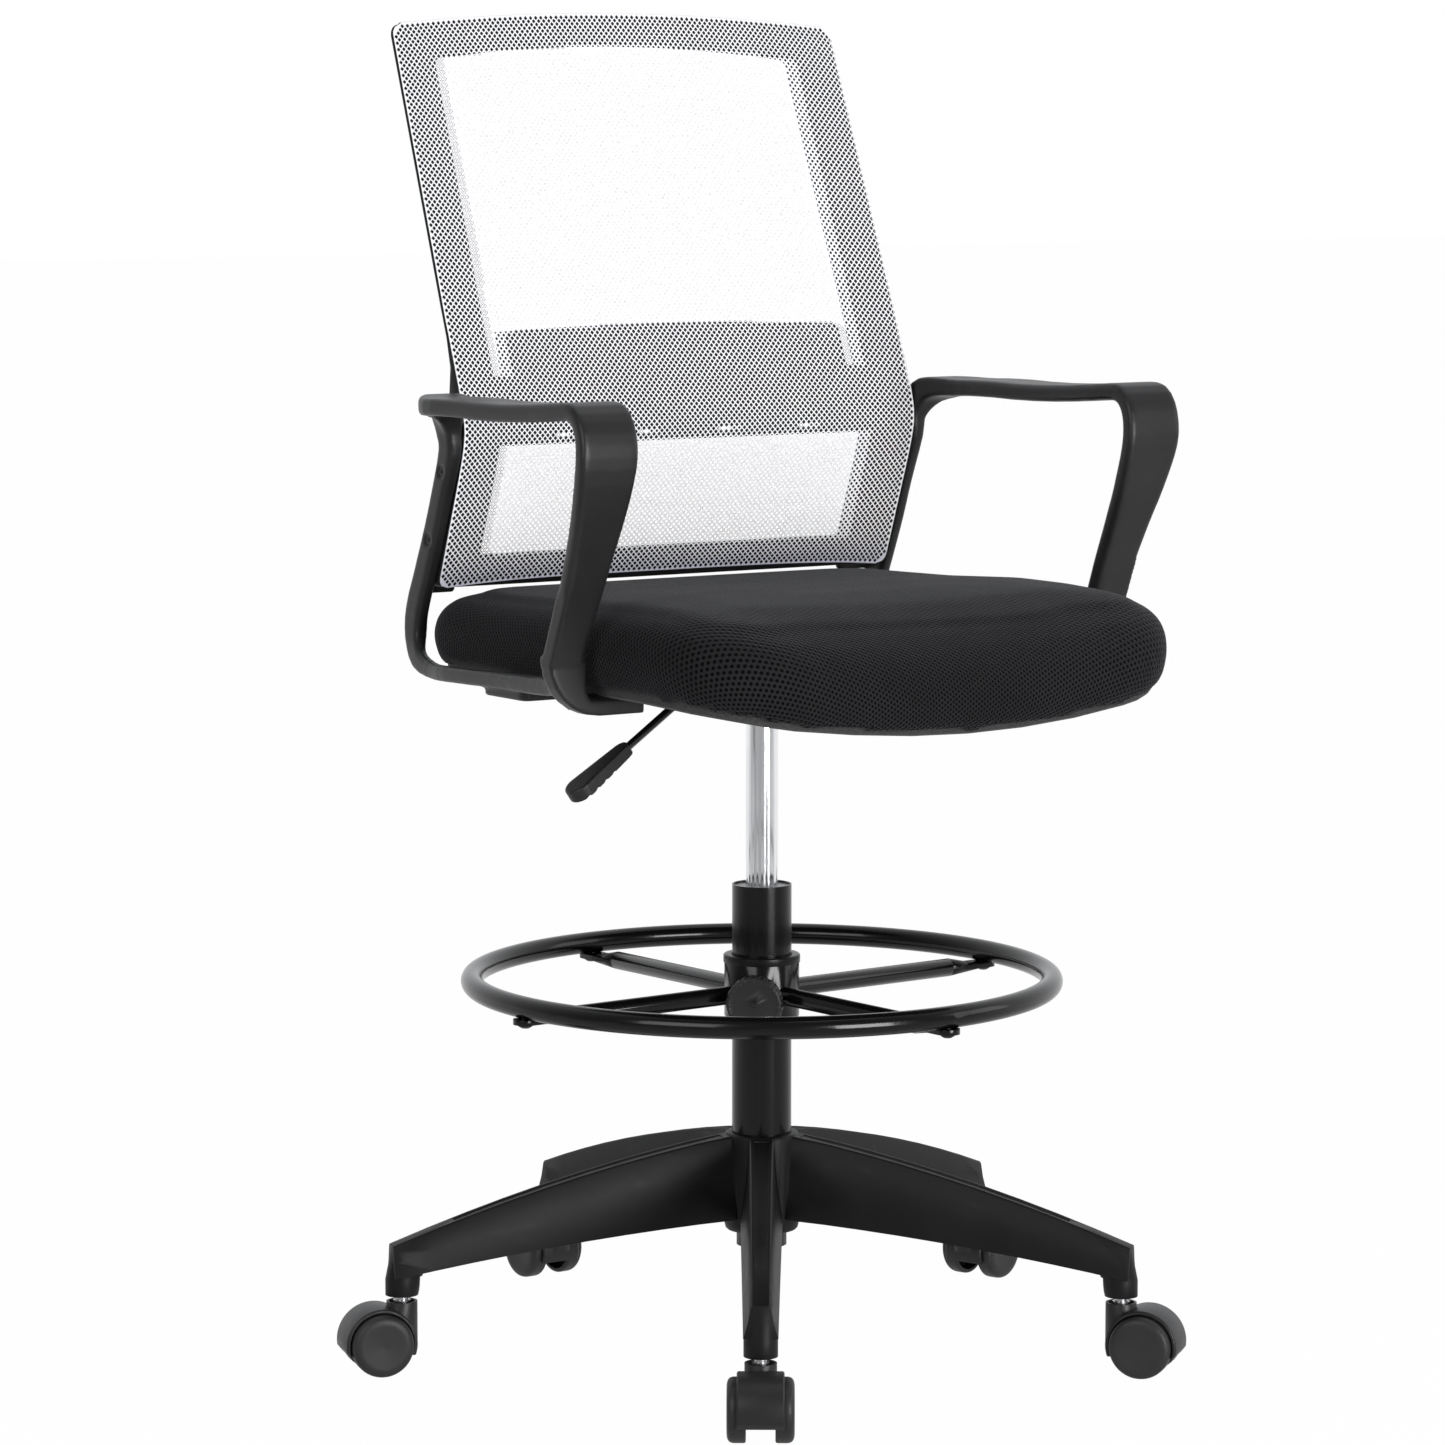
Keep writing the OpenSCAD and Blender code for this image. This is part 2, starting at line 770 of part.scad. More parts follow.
// Plastic sleeve inside the collar with its cap above
module ring_bush() {
    bush_out = tube_r + 3;
    color("#1b1c1e")
        rotate([0, 0, ring_turn])
            difference() {
                translate([0, 0, collar_bottom])
                    rotate_extrude()
                        polygon([
                            [tube_r + fit, -1], [bush_out, -1], [bush_out, collar_h],
                            [collar_r + 0.7, collar_h], [collar_r + 0.7, collar_h + cap_h - 1],
                            [collar_r - 0.4, collar_h + cap_h], [tube_r + 1, collar_h + cap_h],
                            [tube_r + fit, collar_h + cap_h - 1]
                        ]);
                rotate([0, 0, 225])
                    translate([0, 0, knob_z])
                        rotate([0, 90, 0])
                            cylinder(h = collar_r, r = screw_r + fit);
            }
}

module ring_bolts() {
    flat_top = ring_z - ring_tube_r - 4.5;
    color("#55575a")
        rotate([0, 0, ring_turn])
            for (k = [0:spoke_count - 1])
                rotate([0, 0, 90 * k])
                    translate([ring_r, 0, flat_top])
                        rotate_extrude()
                            polygon([
                                [0, -3.6], [3.6, -3.2], [6, -1.6], [6.6, 0], [bolt_r, 0],
                                [bolt_r, 9], [0, 9]
                            ]);
}

// Round knob with scalloped grip ribs and its screw
module clamp_knob() {
    color("#1f2022")
        rotate([0, 0, knob_turn])
            translate([knob_seat, 0, knob_z])
                rotate([0, 90, 0])
                    difference() {
                        union() {
                            rotate_extrude()
                                polygon([
                                    [0, 0], [knob_r - 5, 0], [knob_r - 1, 2], [knob_r, 4],
                                    [knob_r, knob_d - 3], [knob_r - 1, knob_d - 1], [knob_r - 3, knob_d],
                                    [knob_r - 5.5, knob_d - 1], [2.2, knob_d - 1], [2.2, knob_d],
                                    [0, knob_d]
                                ]);
                            translate([0, 0, tube_r + 2 * fit - knob_seat])
                                cylinder(h = knob_seat - tube_r, r = screw_r);
                        }
                        for (k = [0:23])
                            rotate([0, 0, 15 * k])
                                translate([knob_r + 0.5, 0, 3])
                                    cylinder(h = knob_d - 5, r = 1.5, $fn = 16);
                    }
}

// ---------------------------------------------------------------- seat plate and lever

// Corner places of the plate's bolts
plate_bolts = [for (x = [-1, 1], y = [-1, 1]) [x * bolt_x / 2, y * bolt_y / 2 - 20]];

// Rounded flat sheet with the given corners
module sheet(lo, hi, r, t) {
    linear_extrude(t)
        polygon(round_box(lo, hi, r, 5));
}

module seat_plate() {
    low = pan_z - plate_t - box_h;
    color("#202123")
        difference() {
            union() {
                translate([0, 0, pan_z - plate_t])
                    sheet([-plate_w / 2, -plate_l / 2 - 20], [plate_w / 2, plate_l / 2 - 20], 14, plate_t);
                // Stiffening flanges along both sides
                for (s = [-1, 1])
                    translate([s * (plate_w - plate_t) / 2, -20, pan_z - plate_t - 3])
                        cube([plate_t, plate_l - 34, 8], center = true);
                // Lever housing
                difference() {
                    translate([-box_w / 2, -box_l / 2, low])
                        cube([box_w, box_l, box_h + eps]);
                    translate([-box_w / 2 + plate_t, -box_l / 2 + plate_t, low + plate_t])
                        cube([box_w - 2 * plate_t, box_l - 2 * plate_t, box_h]);
                }
                // Tapered socket
                translate([0, 0, socket_top - taper_l])
                    cylinder(h = taper_l, r = lift_r + 5);
                // Ears that hold the lever's cross pin
                for (s = [-1, 1])
                    translate([-pivot_x - 7, s * 17 - plate_t / 2, low])
                        cube([14, plate_t, box_h + eps]);
            }
            rotate_extrude()
                polygon([
                    [0, socket_top - taper_l - 1], [lift_r + taper_drop / taper_l, socket_top - taper_l - 1],
                    [lift_r - taper_drop, socket_top], [lift_r - taper_drop, socket_top + 1],
                    [0, socket_top + 1]
                ]);
            translate([-pivot_x, 0, lever_z])
                cross_rod(lever_r - 0.5 + fit, 60);
            // Slot for the rod
            translate([-box_w / 2 - 5, -6, lever_z - 7])
                cube([20, 12, pan_z - plate_t - lever_z + 7]);
            for (p = plate_bolts)
                translate([p[0], p[1], pan_z - 2 * plate_t])
                    cylinder(h = 3 * plate_t, r = bolt_r + drill);
        }
}

// Lever rod: level over the button, then bent down and out to the paddle
module lever_rod() {
    color("#191a1c") {
        translate([-lever_bend, 0, lever_z])
            rotate([0, 90, 0])
                cylinder(h = lever_bend + 7, r = lever_r);
        translate([-lever_bend, 0, lever_z])
            sphere(r = lever_r);
        translate([-lever_bend, 0, lever_z])
            rotate([0, -90 - lever_slope, 0])
                cylinder(h = lever_l + 20, r = lever_r);
        translate([-pivot_x, 0, lever_z])
            cross_rod(lever_r - 0.5, 40);
    }
}

// Paddle: widens to a round end, with finger scallops along its underside
module lever_paddle() {
    root_w = 16;
    end_r = paddle_w / 2;
    color("#1a1b1d")
        translate([-lever_bend, 0, lever_z])
            rotate([0, -90 - lever_slope, 0])
                translate([0, 0, lever_l])
                    difference() {
                        hull() {
                            paddle_disc(4, root_w / 2, paddle_t - 2);
                            paddle_disc(paddle_l - end_r, end_r - 1.2, paddle_t);
                            paddle_disc(paddle_l - end_r, end_r, paddle_t - 2.4);
                        }
                        for (k = [0:3])
                            translate([-paddle_t / 2 - 1, 0, paddle_l * (0.36 + 0.16 * k)])
                                cross_rod(2.6, paddle_w + 4);
                        translate([0, 0, -6])
                            cylinder(h = 26, r = lever_r);
                    }
}

// Flat disc across the paddle at a distance along it
module paddle_disc(along, r, t) {
    translate([-t / 2, 0, along])
        rotate([0, 90, 0])
            cylinder(h = t, r = r, $fn = 32);
}

// ---------------------------------------------------------------- seat

// Drop of the moulded front below the level part, less at the sides
function seat_drop(x, y) =
    front_drop * (1 - side_lift * pow(2 * x / seat_w, 2))
    * pow(clamp((-y - drop_start) / (seat_front - drop_start), 0, 2), 2);

// Seat outline moved in by an inset, at a height above the pan's underside
function seat_ring(inset, h) =
    let (
        x = seat_w / 2 - inset,
        lo = [-x, -seat_front + inset],
        hi = [x, seat_rear - inset],
        front = round_box(lo, hi, max(seat_corner - inset, 10), 7),
        rear = round_box(lo, hi, max(rear_corner - inset, 10), 7),
        base = [for (k = [0:len(front) - 1]) front[k][1] < seat_mid ? front[k] : rear[k]]
    )
    [
        for (p = base)
            let (
                near = pow(clamp((seat_mid - p[1]) / (seat_mid + seat_front), 0, 1), 3),
                y = p[1] - seat_bulge * near * (1 - pow(p[0] / x, 2))
            )
            [p[0], y, pan_z + h - seat_drop(p[0], y)]
    ];

// Outline points of the seat ring with the long edges divided
function seat_loop(inset, h) =
    let (ring = seat_ring(inset, h), n = len(ring))
    [
        for (i = [0:n - 1])
            let (a = ring[i], b = ring[(i + 1) % n], parts = norm(b - a) > 60 ? 6 : 1)
            each [
                for (k = [0:5])
                    if (k < parts)
                        edge_point(a, b, k / parts, inset, h)
            ]
    ];

// A point between two outline points, put back on the bulged and dropped surface
function edge_point(a, b, t, inset, h) =
    let (
        x = mix(a[0], b[0], t),
        flat = mix(a[1], b[1], t),
        across = abs(a[1] - b[1]) < 1 && a[1] < seat_mid,
        half = seat_w / 2 - inset,
        y = across ? -seat_front + inset - seat_bulge * (1 - pow(x / half, 2)) : flat
    )
    [x, y, pan_z + h - seat_drop(x, y)];

// Moulded seat board with its bolt holes
module seat_pan() {
    in = pan_inset;
    color("#3a3b3d")
        difference() {
            skin([
                seat_loop(seat_deep, 0), seat_loop(seat_mild, 0), seat_loop(40, 0), seat_loop(in + 2, 0),
                seat_loop(in, 2), seat_loop(in, pan_t), seat_loop(40, pan_t), seat_loop(seat_mild, pan_t),
                seat_loop(seat_deep, pan_t)
            ], crossed = true);
            for (p = all_bolts)
                translate([p[0], p[1], pan_z]) {
                    translate([0, 0, -1])
                        cylinder(h = pan_t + 2, r = bolt_r + 1.2);
                    translate([0, 0, pan_t - 1.2])
                        cylinder(h = 3, r = bolt_r + 5.5);
                }
        }
}

// Foam and cover: wraps the pan's edge and is crowned on top
module seat_cushion() {
    in = pan_inset - seat_gap;
    bed = pan_t + seat_gap;
    h = cushion_h;
    color("#1d1e20")
        skin([
            seat_loop(seat_deep, bed), seat_loop(seat_mild, bed), seat_loop(40, bed), seat_loop(in, bed),
            seat_loop(in, rim_z), seat_loop(12.5, rim_z), seat_loop(7, rim_z + 6), seat_loop(2.5, rim_z + 16),
            seat_loop(0.4, rim_z + 26), seat_loop(0, h - 37), seat_loop(3, h - 26), seat_loop(10, h - 16.5),
            seat_loop(23, h - 8.4), seat_loop(47, h - 3.7), seat_loop(seat_mild, h - 0.9),
            seat_loop(seat_deep, h)
        ]);
}

// Bolt places of one arm's two feet, on the +X side
arm_bolts_xy = [for (y = concat(front_bolts, rear_bolts)) [arm_bolt_x, y]];
all_bolts = concat(
    plate_bolts, [for (p = arm_bolts_xy) p], [for (p = arm_bolts_xy) [-p[0], p[1]]]
);

// Flanged nuts let into the top of the pan
module pan_nuts() {
    color("#b0a98c")
        for (p = all_bolts)
            translate([p[0], p[1], pan_z])
                difference() {
                    union() {
                        translate([0, 0, 2])
                            cylinder(h = pan_t - 3, r = bolt_r + 1.2);
                        translate([0, 0, pan_t - 1.2])
                            cylinder(h = 1.2, r = bolt_r + 5.5);
                    }
                    translate([0, 0, 1])
                        cylinder(h = pan_t - 2.5, r = bolt_r);
                }
}

// A button-head bolt pointing up, its head below z = 0
module bolt(r, l) {
    rotate_extrude()
        polygon([
            [1.6, -3.4], [1.6, -1.6], [0, -1.6], [0, l], [r, l], [r, 0], [2 * r, 0], [2 * r, -1],
            [1.75 * r, -2.4], [1.2 * r, -3.4]
        ]);
}

module seat_bolts() {
    color("#4a4c4f")
        for (p = plate_bolts)
            translate([p[0], p[1], pan_z - plate_t])
                bolt(bolt_r, plate_t + pan_t - 2);
}

module arm_bolts() {
    color("#4a4c4f")
        for (s = [-1, 1], p = arm_bolts_xy)
            translate([s * p[0], p[1], pan_z - foot_t + 4])
                bolt(bolt_r, foot_t - 4 + pan_t - 2);
}

// ---------------------------------------------------------------- arms

// Rows of the arm's loop: place, height, thickness, inner and outer distance from the middle
arm_rows =
    let (
        p = pan_z,
        a = arm_top,
        t = arm_t,
        yb = -arm_front + t / 2,
        yf = -foot_front + t / 2,
        x1 = back_w / 2,
        x2 = x1 + rear_post_w,
        post_in = arm_out - 12 - post_w,
        rail_in = seat_w / 2 + 3
    )
    [
        [10, a - 4 - t / 2, t, pad_in, arm_out],
        [-80, a - 2 - t / 2, t, pad_in, arm_out],
        [yb + 42, a + 1.5 - t / 2, t, pad_in, arm_out],
        [yb + 14, a - 0.5 - t / 2, t, pad_in, arm_out],
        [yb + 1, a - 17 - t / 2, t, pad_in, arm_out],
        [yb + 0.5, mix(p, a, 0.8), t, pad_in, arm_out],
        [mix(yf, yb, 0.8), mix(p, a, 0.644), t, mix(post_in, pad_in, 0.75), arm_out - 4.5],
        [mix(yf, yb, 0.6), mix(p, a, 0.52), t, mix(post_in, pad_in, 0.5), arm_out - 8.5],
        [mix(yf, yb, 0.32), mix(p, a, 0.348), t, mix(post_in, pad_in, 0.25), arm_out - 12],
        [mix(yf, yb, 0.12), mix(p, a, 0.22), t, post_in, arm_out - 14.5],
        [yf - 2, p + 38, t, post_in, arm_out - 16],
        [yf + 6, p + 16, t, post_in, arm_out - 20],
        [yf + 26, p + 9, t, post_in - 2, arm_out - 24],
        [0, p + 5.5, t - 1, rail_in + 5, arm_out - 33],
        [95, p + 2, t - 1, rail_in + 0.5, x2 + 15],
        [back_y(p + 60) - 23, p + 1.5, t, x1 + 11, x2 + 8],
        [back_y(p + 60) + 8, p + 8.5, t + 4, x1 + 6, x2 + 4],
        [back_y(p + 60) + 22, p + 27, t + 8, x1, x2],
        [back_y(p + 60) + 19.5, p + 50, t + 9, x1, x2],
        [back_y(p + 82) + 14, p + 82, t + 8, x1, x2],
        [back_y(p + 115) + 12, p + 115, t + 7, x1, x2],
        [back_y(p + 150) + 11.5, p + 150, t + 6, x1, x2],
        [back_y(lumbar_z) + 12.5, a - 54, t + 8, x1, x2 + 0.5],
        [back_y(lumbar_z) + 12, a - 35, t + 9, x1, x2 + 4],
        [back_y(lumbar_z) + 3, a - 16, t + 8, x1 + 2, x2 + 20],
        [back_y(lumbar_z) - 17, a - 9.5, t + 2, mix(x1, pad_in, 0.5), arm_out - 14],
        [back_y(lumbar_z) - 44, a - 9, t, pad_in - 1, arm_out - 1]
    ];

// One ring of the arm's band, square to its run
function arm_ring(row, before, after) =
    let (
        run = [after[0] - before[0], after[1] - before[1]],
        n = [run[1], -run[0]] / norm(run),
        box = round_box([row[3], -row[2] / 2], [row[4], row[2] / 2], min(4.2, row[2] / 2 - 1), 4)
    )
    [for (q = box) [q[0], row[0] + q[1] * n[0], row[1] + q[1] * n[1]]];

// Arm on the +X side: one closed band with two feet that turn in under the seat
module arm() {
    rows = smooth_loop(arm_rows, 3);
    n = len(rows);
    inner = arm_out - foot_reach;
    heel = arm_out - 12;
    sweep_d = arm_t + 2;
    sweep_z = pan_z - foot_t + foot_sweep;
    difference() {
        union() {
            skin([for (i = [0:n - 1]) arm_ring(rows[i], rows[(i + n - 1) % n], rows[(i + 1) % n])], true);
            // Swept corner that turns the post in under the seat
            translate([0, -foot_front + sweep_d, 0])
                rotate([90, 0, 0])
                    linear_extrude(sweep_d)
                        polygon(concat(
                            [for (k = [0:6]) [heel - foot_sweep, sweep_z] + foot_sweep * turned(-15 * k)],
                            [[inner + 30, pan_z - foot_t], [inner + 27, pan_z - foot_t + 3]],
                            [[inner + 27, pan_z - 2], [heel - post_w - 12, pan_z - 2]],
                            [for (k = [1:5]) [heel - post_w - 12, pan_z + 10] + 12 * turned(-90 + 18 * k)],
                            [[heel - post_w, sweep_z + 4], [heel, sweep_z + 4]]
                        ));
            // Front foot
            translate([inner, -foot_front + 1, pan_z - foot_t + 2])
                sheet([0, 0], [foot_reach - 52, foot_depth], 8, foot_t - 2);
            // Rear foot
            translate([inner, rear_foot_y, pan_z - foot_t + 4])
                sheet([0, 0], [foot_reach - 42, rear_foot_l], 8, foot_t - 4);
            // Lip that reaches in behind the back's lower corner
            translate([0, back_y(back_low) + edge_d + lip_gap + lip_t, 0])
                rotate([90, 0, 0])
                    sheet([back_w / 2 - lip_l, back_low + 2 - lip_h], [back_w / 2 + 10, back_low + 2], 2.5, lip_t);
        }
        for (q = arm_bolts_xy)
            translate([q[0], q[1], pan_z - 2 * foot_t])
                cylinder(h = 3 * foot_t, r = bolt_r + drill);
        for (y = front_bolts)
            translate([arm_bolt_x, y, pan_z - foot_t - 1])
                cylinder(h = 5, r = 2 * bolt_r + 1.5);
        for (z = screw_z)
            translate([back_w / 2 - 1, back_y(z) + edge_d / 2, z])
                rotate([0, 90, 0]) {
                    cylinder(h = rear_post_w + 12, r = 2.5 + drill);
                    translate([0, 0, rear_post_w - 1.5])
                        cylinder(h = 20, r = 5.6);
                }
    }
}

module arm_right() {
    color("#222326")
        arm();
}

module arm_left() {
    color("#222326")
        mirror([1, 0, 0])
            arm();
}

// ---------------------------------------------------------------- back

// Thickness of the lumbar bar
bar_t = 9;

// Heights of the screws through the rear posts
screw_z = [back_low + 42, back_low + 102];

// Front view outline of the frame moved in by an inset: a list of [x, z]
function back_outline(inset) =
    let (
        zl = back_low + inset * low_w / side_w,
        zt = back_top - inset * top_w / side_w,
        corner = max(back_corner - inset / 2, 6),
        side = back_levels
    )
    concat(
        [for (k = [0:side]) let (z = mix(zt - corner, zl + corner, k / side)) [-back_half(z) + inset, z]],
        [for (k = [1:3]) let (a = 180 + 22.5 * k)
            [-back_half(zl) + inset + corner + corner * cos(a), zl + corner + corner * sin(a)]],
        [for (k = [0:8]) [mix(-1, 1, k / 8) * (back_half(zl) - inset - corner), zl]],
        [for (k = [1:3]) let (a = 270 + 22.5 * k)
            [back_half(zl) - inset - corner + corner * cos(a), zl + corner + corner * sin(a)]],
        [for (k = [side:-1:0]) let (z = mix(zt - corner, zl + corner, k / side)) [back_half(z) - inset, z]],
        [for (k = [1:3]) let (a = 22.5 * k)
            [back_half(zt) - inset - corner + corner * cos(a), zt - corner + corner * sin(a)]],
        [for (k = [8:-1:0])
            let (u = mix(-1, 1, k / 8))
            [u * (back_half(zt) - inset - corner), zt + top_arch * (1 - u * u)]],
        [for (k = [1:3]) let (a = 90 + 22.5 * k)
            [-back_half(zt) + inset + corner + corner * cos(a), zt - corner + corner * sin(a)]]
    );

// A closed ring of the frame: outline at an inset, set back from the front edge line,
// with its own depth above the arms
function frame_ring(inset, back, above) =
    [
        for (p = back_outline(inset))
            let (thin = clamp((p[1] - arm_top + 10) / 35, 0, 1))
            [p[0], back_y(p[1]) + mix(back, above, thin), p[1]]
    ];

// The same with one depth all round
function face_ring(inset, more) = frame_ring(inset, face_back(inset) + more, face_back(inset) + more);

// Distance of the frame's face behind the front edge line at an inset
function face_back(inset) = mesh_t + 0.2 + face_fall * clamp(inset / side_w, 0, 1.2);

// Outer frame with a dished face, thin edges above the arms, and the lumbar bar across it
module back_frame() {
    s = side_w;
    color("#1c1d1f")
        difference() {
            union() {
                skin([
                    face_ring(0.2, 1.4), face_ring(1.2, 0), face_ring(s * 0.5, 0), face_ring(s - 1.5, 0),
                    face_ring(s, 1.5), face_ring(s, 9), face_ring(s - 2, 11),
                    frame_ring(s * 0.5, face_back(s) + 9, face_back(s) + 5),
                    frame_ring(8, edge_d, thin_d + 7), frame_ring(1.5, edge_d, thin_d + 1),
                    frame_ring(0.2, edge_d - 1.5, thin_d)
                ], true);
                lumbar_bar();
            }
            for (m = [-1, 1], z = screw_z)
                translate([m * (back_w / 2 + 1), back_y(z) + edge_d / 2, z])
                    rotate([0, -90 * m, 0])
                        cylinder(h = 19, r = 2.5);
            for (x = [-126, -42, 42, 126])
                translate([x - 9, 0, bar_low + 6])
                    cube([18, back_y(back_top), 3.4]);
        }
}

// Bar behind the mesh at the small of the back, arched on top, joined to the sides at its ends
module lumbar_bar() {
    half = back_w / 2 - side_w + 4;
    stops = [-1, -0.92, -0.91, -0.6, -0.3, 0, 0.3, 0.6, 0.91, 0.92, 1];
    near = face_back(side_w) + 0.6;
    rows = [
        for (v = [0, 0.03, 0.2, 0.4, 0.6, 0.8, 0.97, 1])
            [
                for (u = stops)
                    let (
                        top = abs(u) > 0.915 ? bar_top - 36 : bar_top + 5 * (1 - u * u),
                        z = mix(bar_low, top, v),
                        round = (v == 0 || v == 1) ? 1.5 : 0
                    )
                    [u * half, back_y(z) + near + round, z]
            ]
    ];
    slab(rows, [for (r = rows) [for (p = r) [p[0], back_y(p[2]) + near + bar_t, p[2]]]]);
}

// Half width of the mesh at a height, with its corners rounded
function mesh_half(z, r) =
    let (
        low = clamp(back_low + r - z, 0, r),
        high = clamp(z - back_top + r, 0, r)
    )
    back_half(z) - mesh_in - 2 * r + sqrt(r * r - low * low) + sqrt(r * r - high * high);

// Stretched fabric over the frame's face
module back_mesh() {
    r = back_corner - mesh_in;
    low = back_low + mesh_in;
    high = back_top - mesh_in;
    heights = concat(
        [for (k = [0:3]) low + r * (1 - cos(22.5 * k))],
        [for (k = [0:back_levels]) mix(low + r, high - r, k / back_levels)],
        [for (k = [3:-1:0]) high - r * (1 - cos(22.5 * k))]
    );
    front = [
        for (h = heights)
            [
                for (u = [-1, -0.97, -0.9, -0.8, -0.6, -0.3, 0, 0.3, 0.6, 0.8, 0.9, 0.97, 1])
                    let (
                        rise = top_arch * clamp((h - 900) / (back_top - 900), 0, 1),
                        z = h + rise * (1 - u * u),
                        sag = mesh_sag * (1 - u * u) * clamp((1 - abs(u)) / 0.2, 0, 1),
                        fade = clamp(min(h - low, high - h) / 60, 0, 1)
                    )
                    [u * mesh_half(h, r), back_y(z) + sag * fade, z]
            ]
    ];
    color("#e9e9ee")
        slab(front, [for (row = front) [for (p = row) p + [0, mesh_t, 0]]]);
}

module back_screws() {
    color("#4a4c4f")
        for (m = [-1, 1], z = screw_z)
            translate([m * (back_w / 2 + rear_post_w - 2.5), back_y(z) + edge_d / 2, z])
                rotate([0, -90 * m, 0])
                    bolt(2.5, rear_post_w + 12);
}

base_star();
column_tube();
guide_bush();
thrust_bearing();
retaining_clip();
piston_rod();
gas_cylinder();
release_button();
foot_ring();
ring_hub();
ring_bush();
ring_bolts();
clamp_knob();
seat_plate();
lever_rod();
lever_paddle();
seat_pan();
pan_nuts();
seat_cushion();
seat_bolts();
arm_left();
arm_right();
arm_bolts();
back_frame();
back_mesh();
back_screws();
caster_hood(1);  // caster_hood_1
caster_stem(1);  // caster_stem_1
caster_axle(1);  // caster_axle_1
wheel(1, 1);  // wheel_left_1
wheel(1, -1);  // wheel_right_1
caster_hood(2);  // caster_hood_2
caster_stem(2);  // caster_stem_2
caster_axle(2);  // caster_axle_2
wheel(2, 1);  // wheel_left_2
wheel(2, -1);  // wheel_right_2
caster_hood(3);  // caster_hood_3
caster_stem(3);  // caster_stem_3
caster_axle(3);  // caster_axle_3
wheel(3, 1);  // wheel_left_3
wheel(3, -1);  // wheel_right_3
caster_hood(4);  // caster_hood_4
caster_stem(4);  // caster_stem_4
caster_axle(4);  // caster_axle_4
wheel(4, 1);  // wheel_left_4
wheel(4, -1);  // wheel_right_4
caster_hood(5);  // caster_hood_5
caster_stem(5);  // caster_stem_5
caster_axle(5);  // caster_axle_5
wheel(5, 1);  // wheel_left_5
wheel(5, -1);  // wheel_right_5
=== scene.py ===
import math

import bpy
import numpy as np
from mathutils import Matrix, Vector
from mathutils.bvhtree import BVHTree


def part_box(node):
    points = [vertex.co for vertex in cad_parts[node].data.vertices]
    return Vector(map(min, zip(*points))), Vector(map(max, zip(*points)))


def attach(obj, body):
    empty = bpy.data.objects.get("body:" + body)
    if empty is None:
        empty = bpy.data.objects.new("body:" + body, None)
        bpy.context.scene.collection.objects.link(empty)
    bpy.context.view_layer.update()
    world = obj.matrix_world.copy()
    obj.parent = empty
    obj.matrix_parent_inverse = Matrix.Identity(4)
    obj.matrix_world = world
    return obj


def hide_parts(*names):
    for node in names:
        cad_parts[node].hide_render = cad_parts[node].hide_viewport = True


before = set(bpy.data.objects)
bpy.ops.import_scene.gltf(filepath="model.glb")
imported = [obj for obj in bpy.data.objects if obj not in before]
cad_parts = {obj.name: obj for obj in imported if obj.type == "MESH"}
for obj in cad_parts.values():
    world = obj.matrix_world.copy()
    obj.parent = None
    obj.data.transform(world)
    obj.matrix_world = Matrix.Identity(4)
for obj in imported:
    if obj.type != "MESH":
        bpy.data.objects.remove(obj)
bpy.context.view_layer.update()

print("frame loaded:", len(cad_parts), "nodes")


# small helpers; lengths are in metres and angles in degrees unless a note says otherwise

def clamp(value, low, high):
    return max(low, min(high, value))


def clearSelection():
    if bpy.context.mode != "OBJECT":
        bpy.ops.object.mode_set(mode="OBJECT")
    bpy.ops.object.select_all(action="DESELECT")


def workOn(piece):
    clearSelection()
    piece.select_set(True)
    bpy.context.view_layer.objects.active = piece


def linked(name, data):
    thing = bpy.data.objects.new(name, data)
    bpy.context.scene.collection.objects.link(thing)
    return thing


def finish(piece, body, skin, node):
    piece.data.materials.clear()
    piece.data.materials.append(skins[skin])
    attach(piece, body)
    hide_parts(node)


def placesOf(mesh):
    places = np.zeros(len(mesh.vertices) * 3)
    mesh.vertices.foreach_get("co", places)
    return places.reshape(-1, 3)


def cornersOf(mesh):
    # the vertex at each corner of each face
    corners = np.zeros(len(mesh.loops), int)
    mesh.loops.foreach_get("vertex_index", corners)
    return corners


# shader maths

class Wire:
    # a node's output that can stand in sums
    def __init__(self, graph, socket):
        self.graph, self.socket = graph, socket

    def math(self, operation, *others, first=None):
        values = [self, *others] if first is None else [first, self]
        return self.graph.add("ShaderNodeMath", {"operation": operation}, dict(enumerate(values)))

    def __add__(self, other):
        return self.math("ADD", other)

    def __radd__(self, other):
        return self.math("ADD", other)

    def __sub__(self, other):
        return self.math("SUBTRACT", other)

    def __rsub__(self, other):
        return self.math("SUBTRACT", first=other)

    def __mul__(self, other):
        return self.math("MULTIPLY", other)

    def __rmul__(self, other):
        return self.math("MULTIPLY", other)

    def __truediv__(self, other):
        return self.math("DIVIDE", other)

    def __rtruediv__(self, other):
        return self.math("DIVIDE", first=other)

    def __abs__(self):
        return self.math("ABSOLUTE")

    def pow(self, other):
        return self.math("POWER", other)

    def fract(self):
        return self.math("FRACT")

    def ramp(self, low, high, start=0.0, end=1.0):
        settings = {"interpolation_type": "SMOOTHSTEP", "clamp": True}
        values = {"Value": self, "From Min": low, "From Max": high, "To Min": start, "To Max": end}
        return self.graph.add("ShaderNodeMapRange", settings, values)


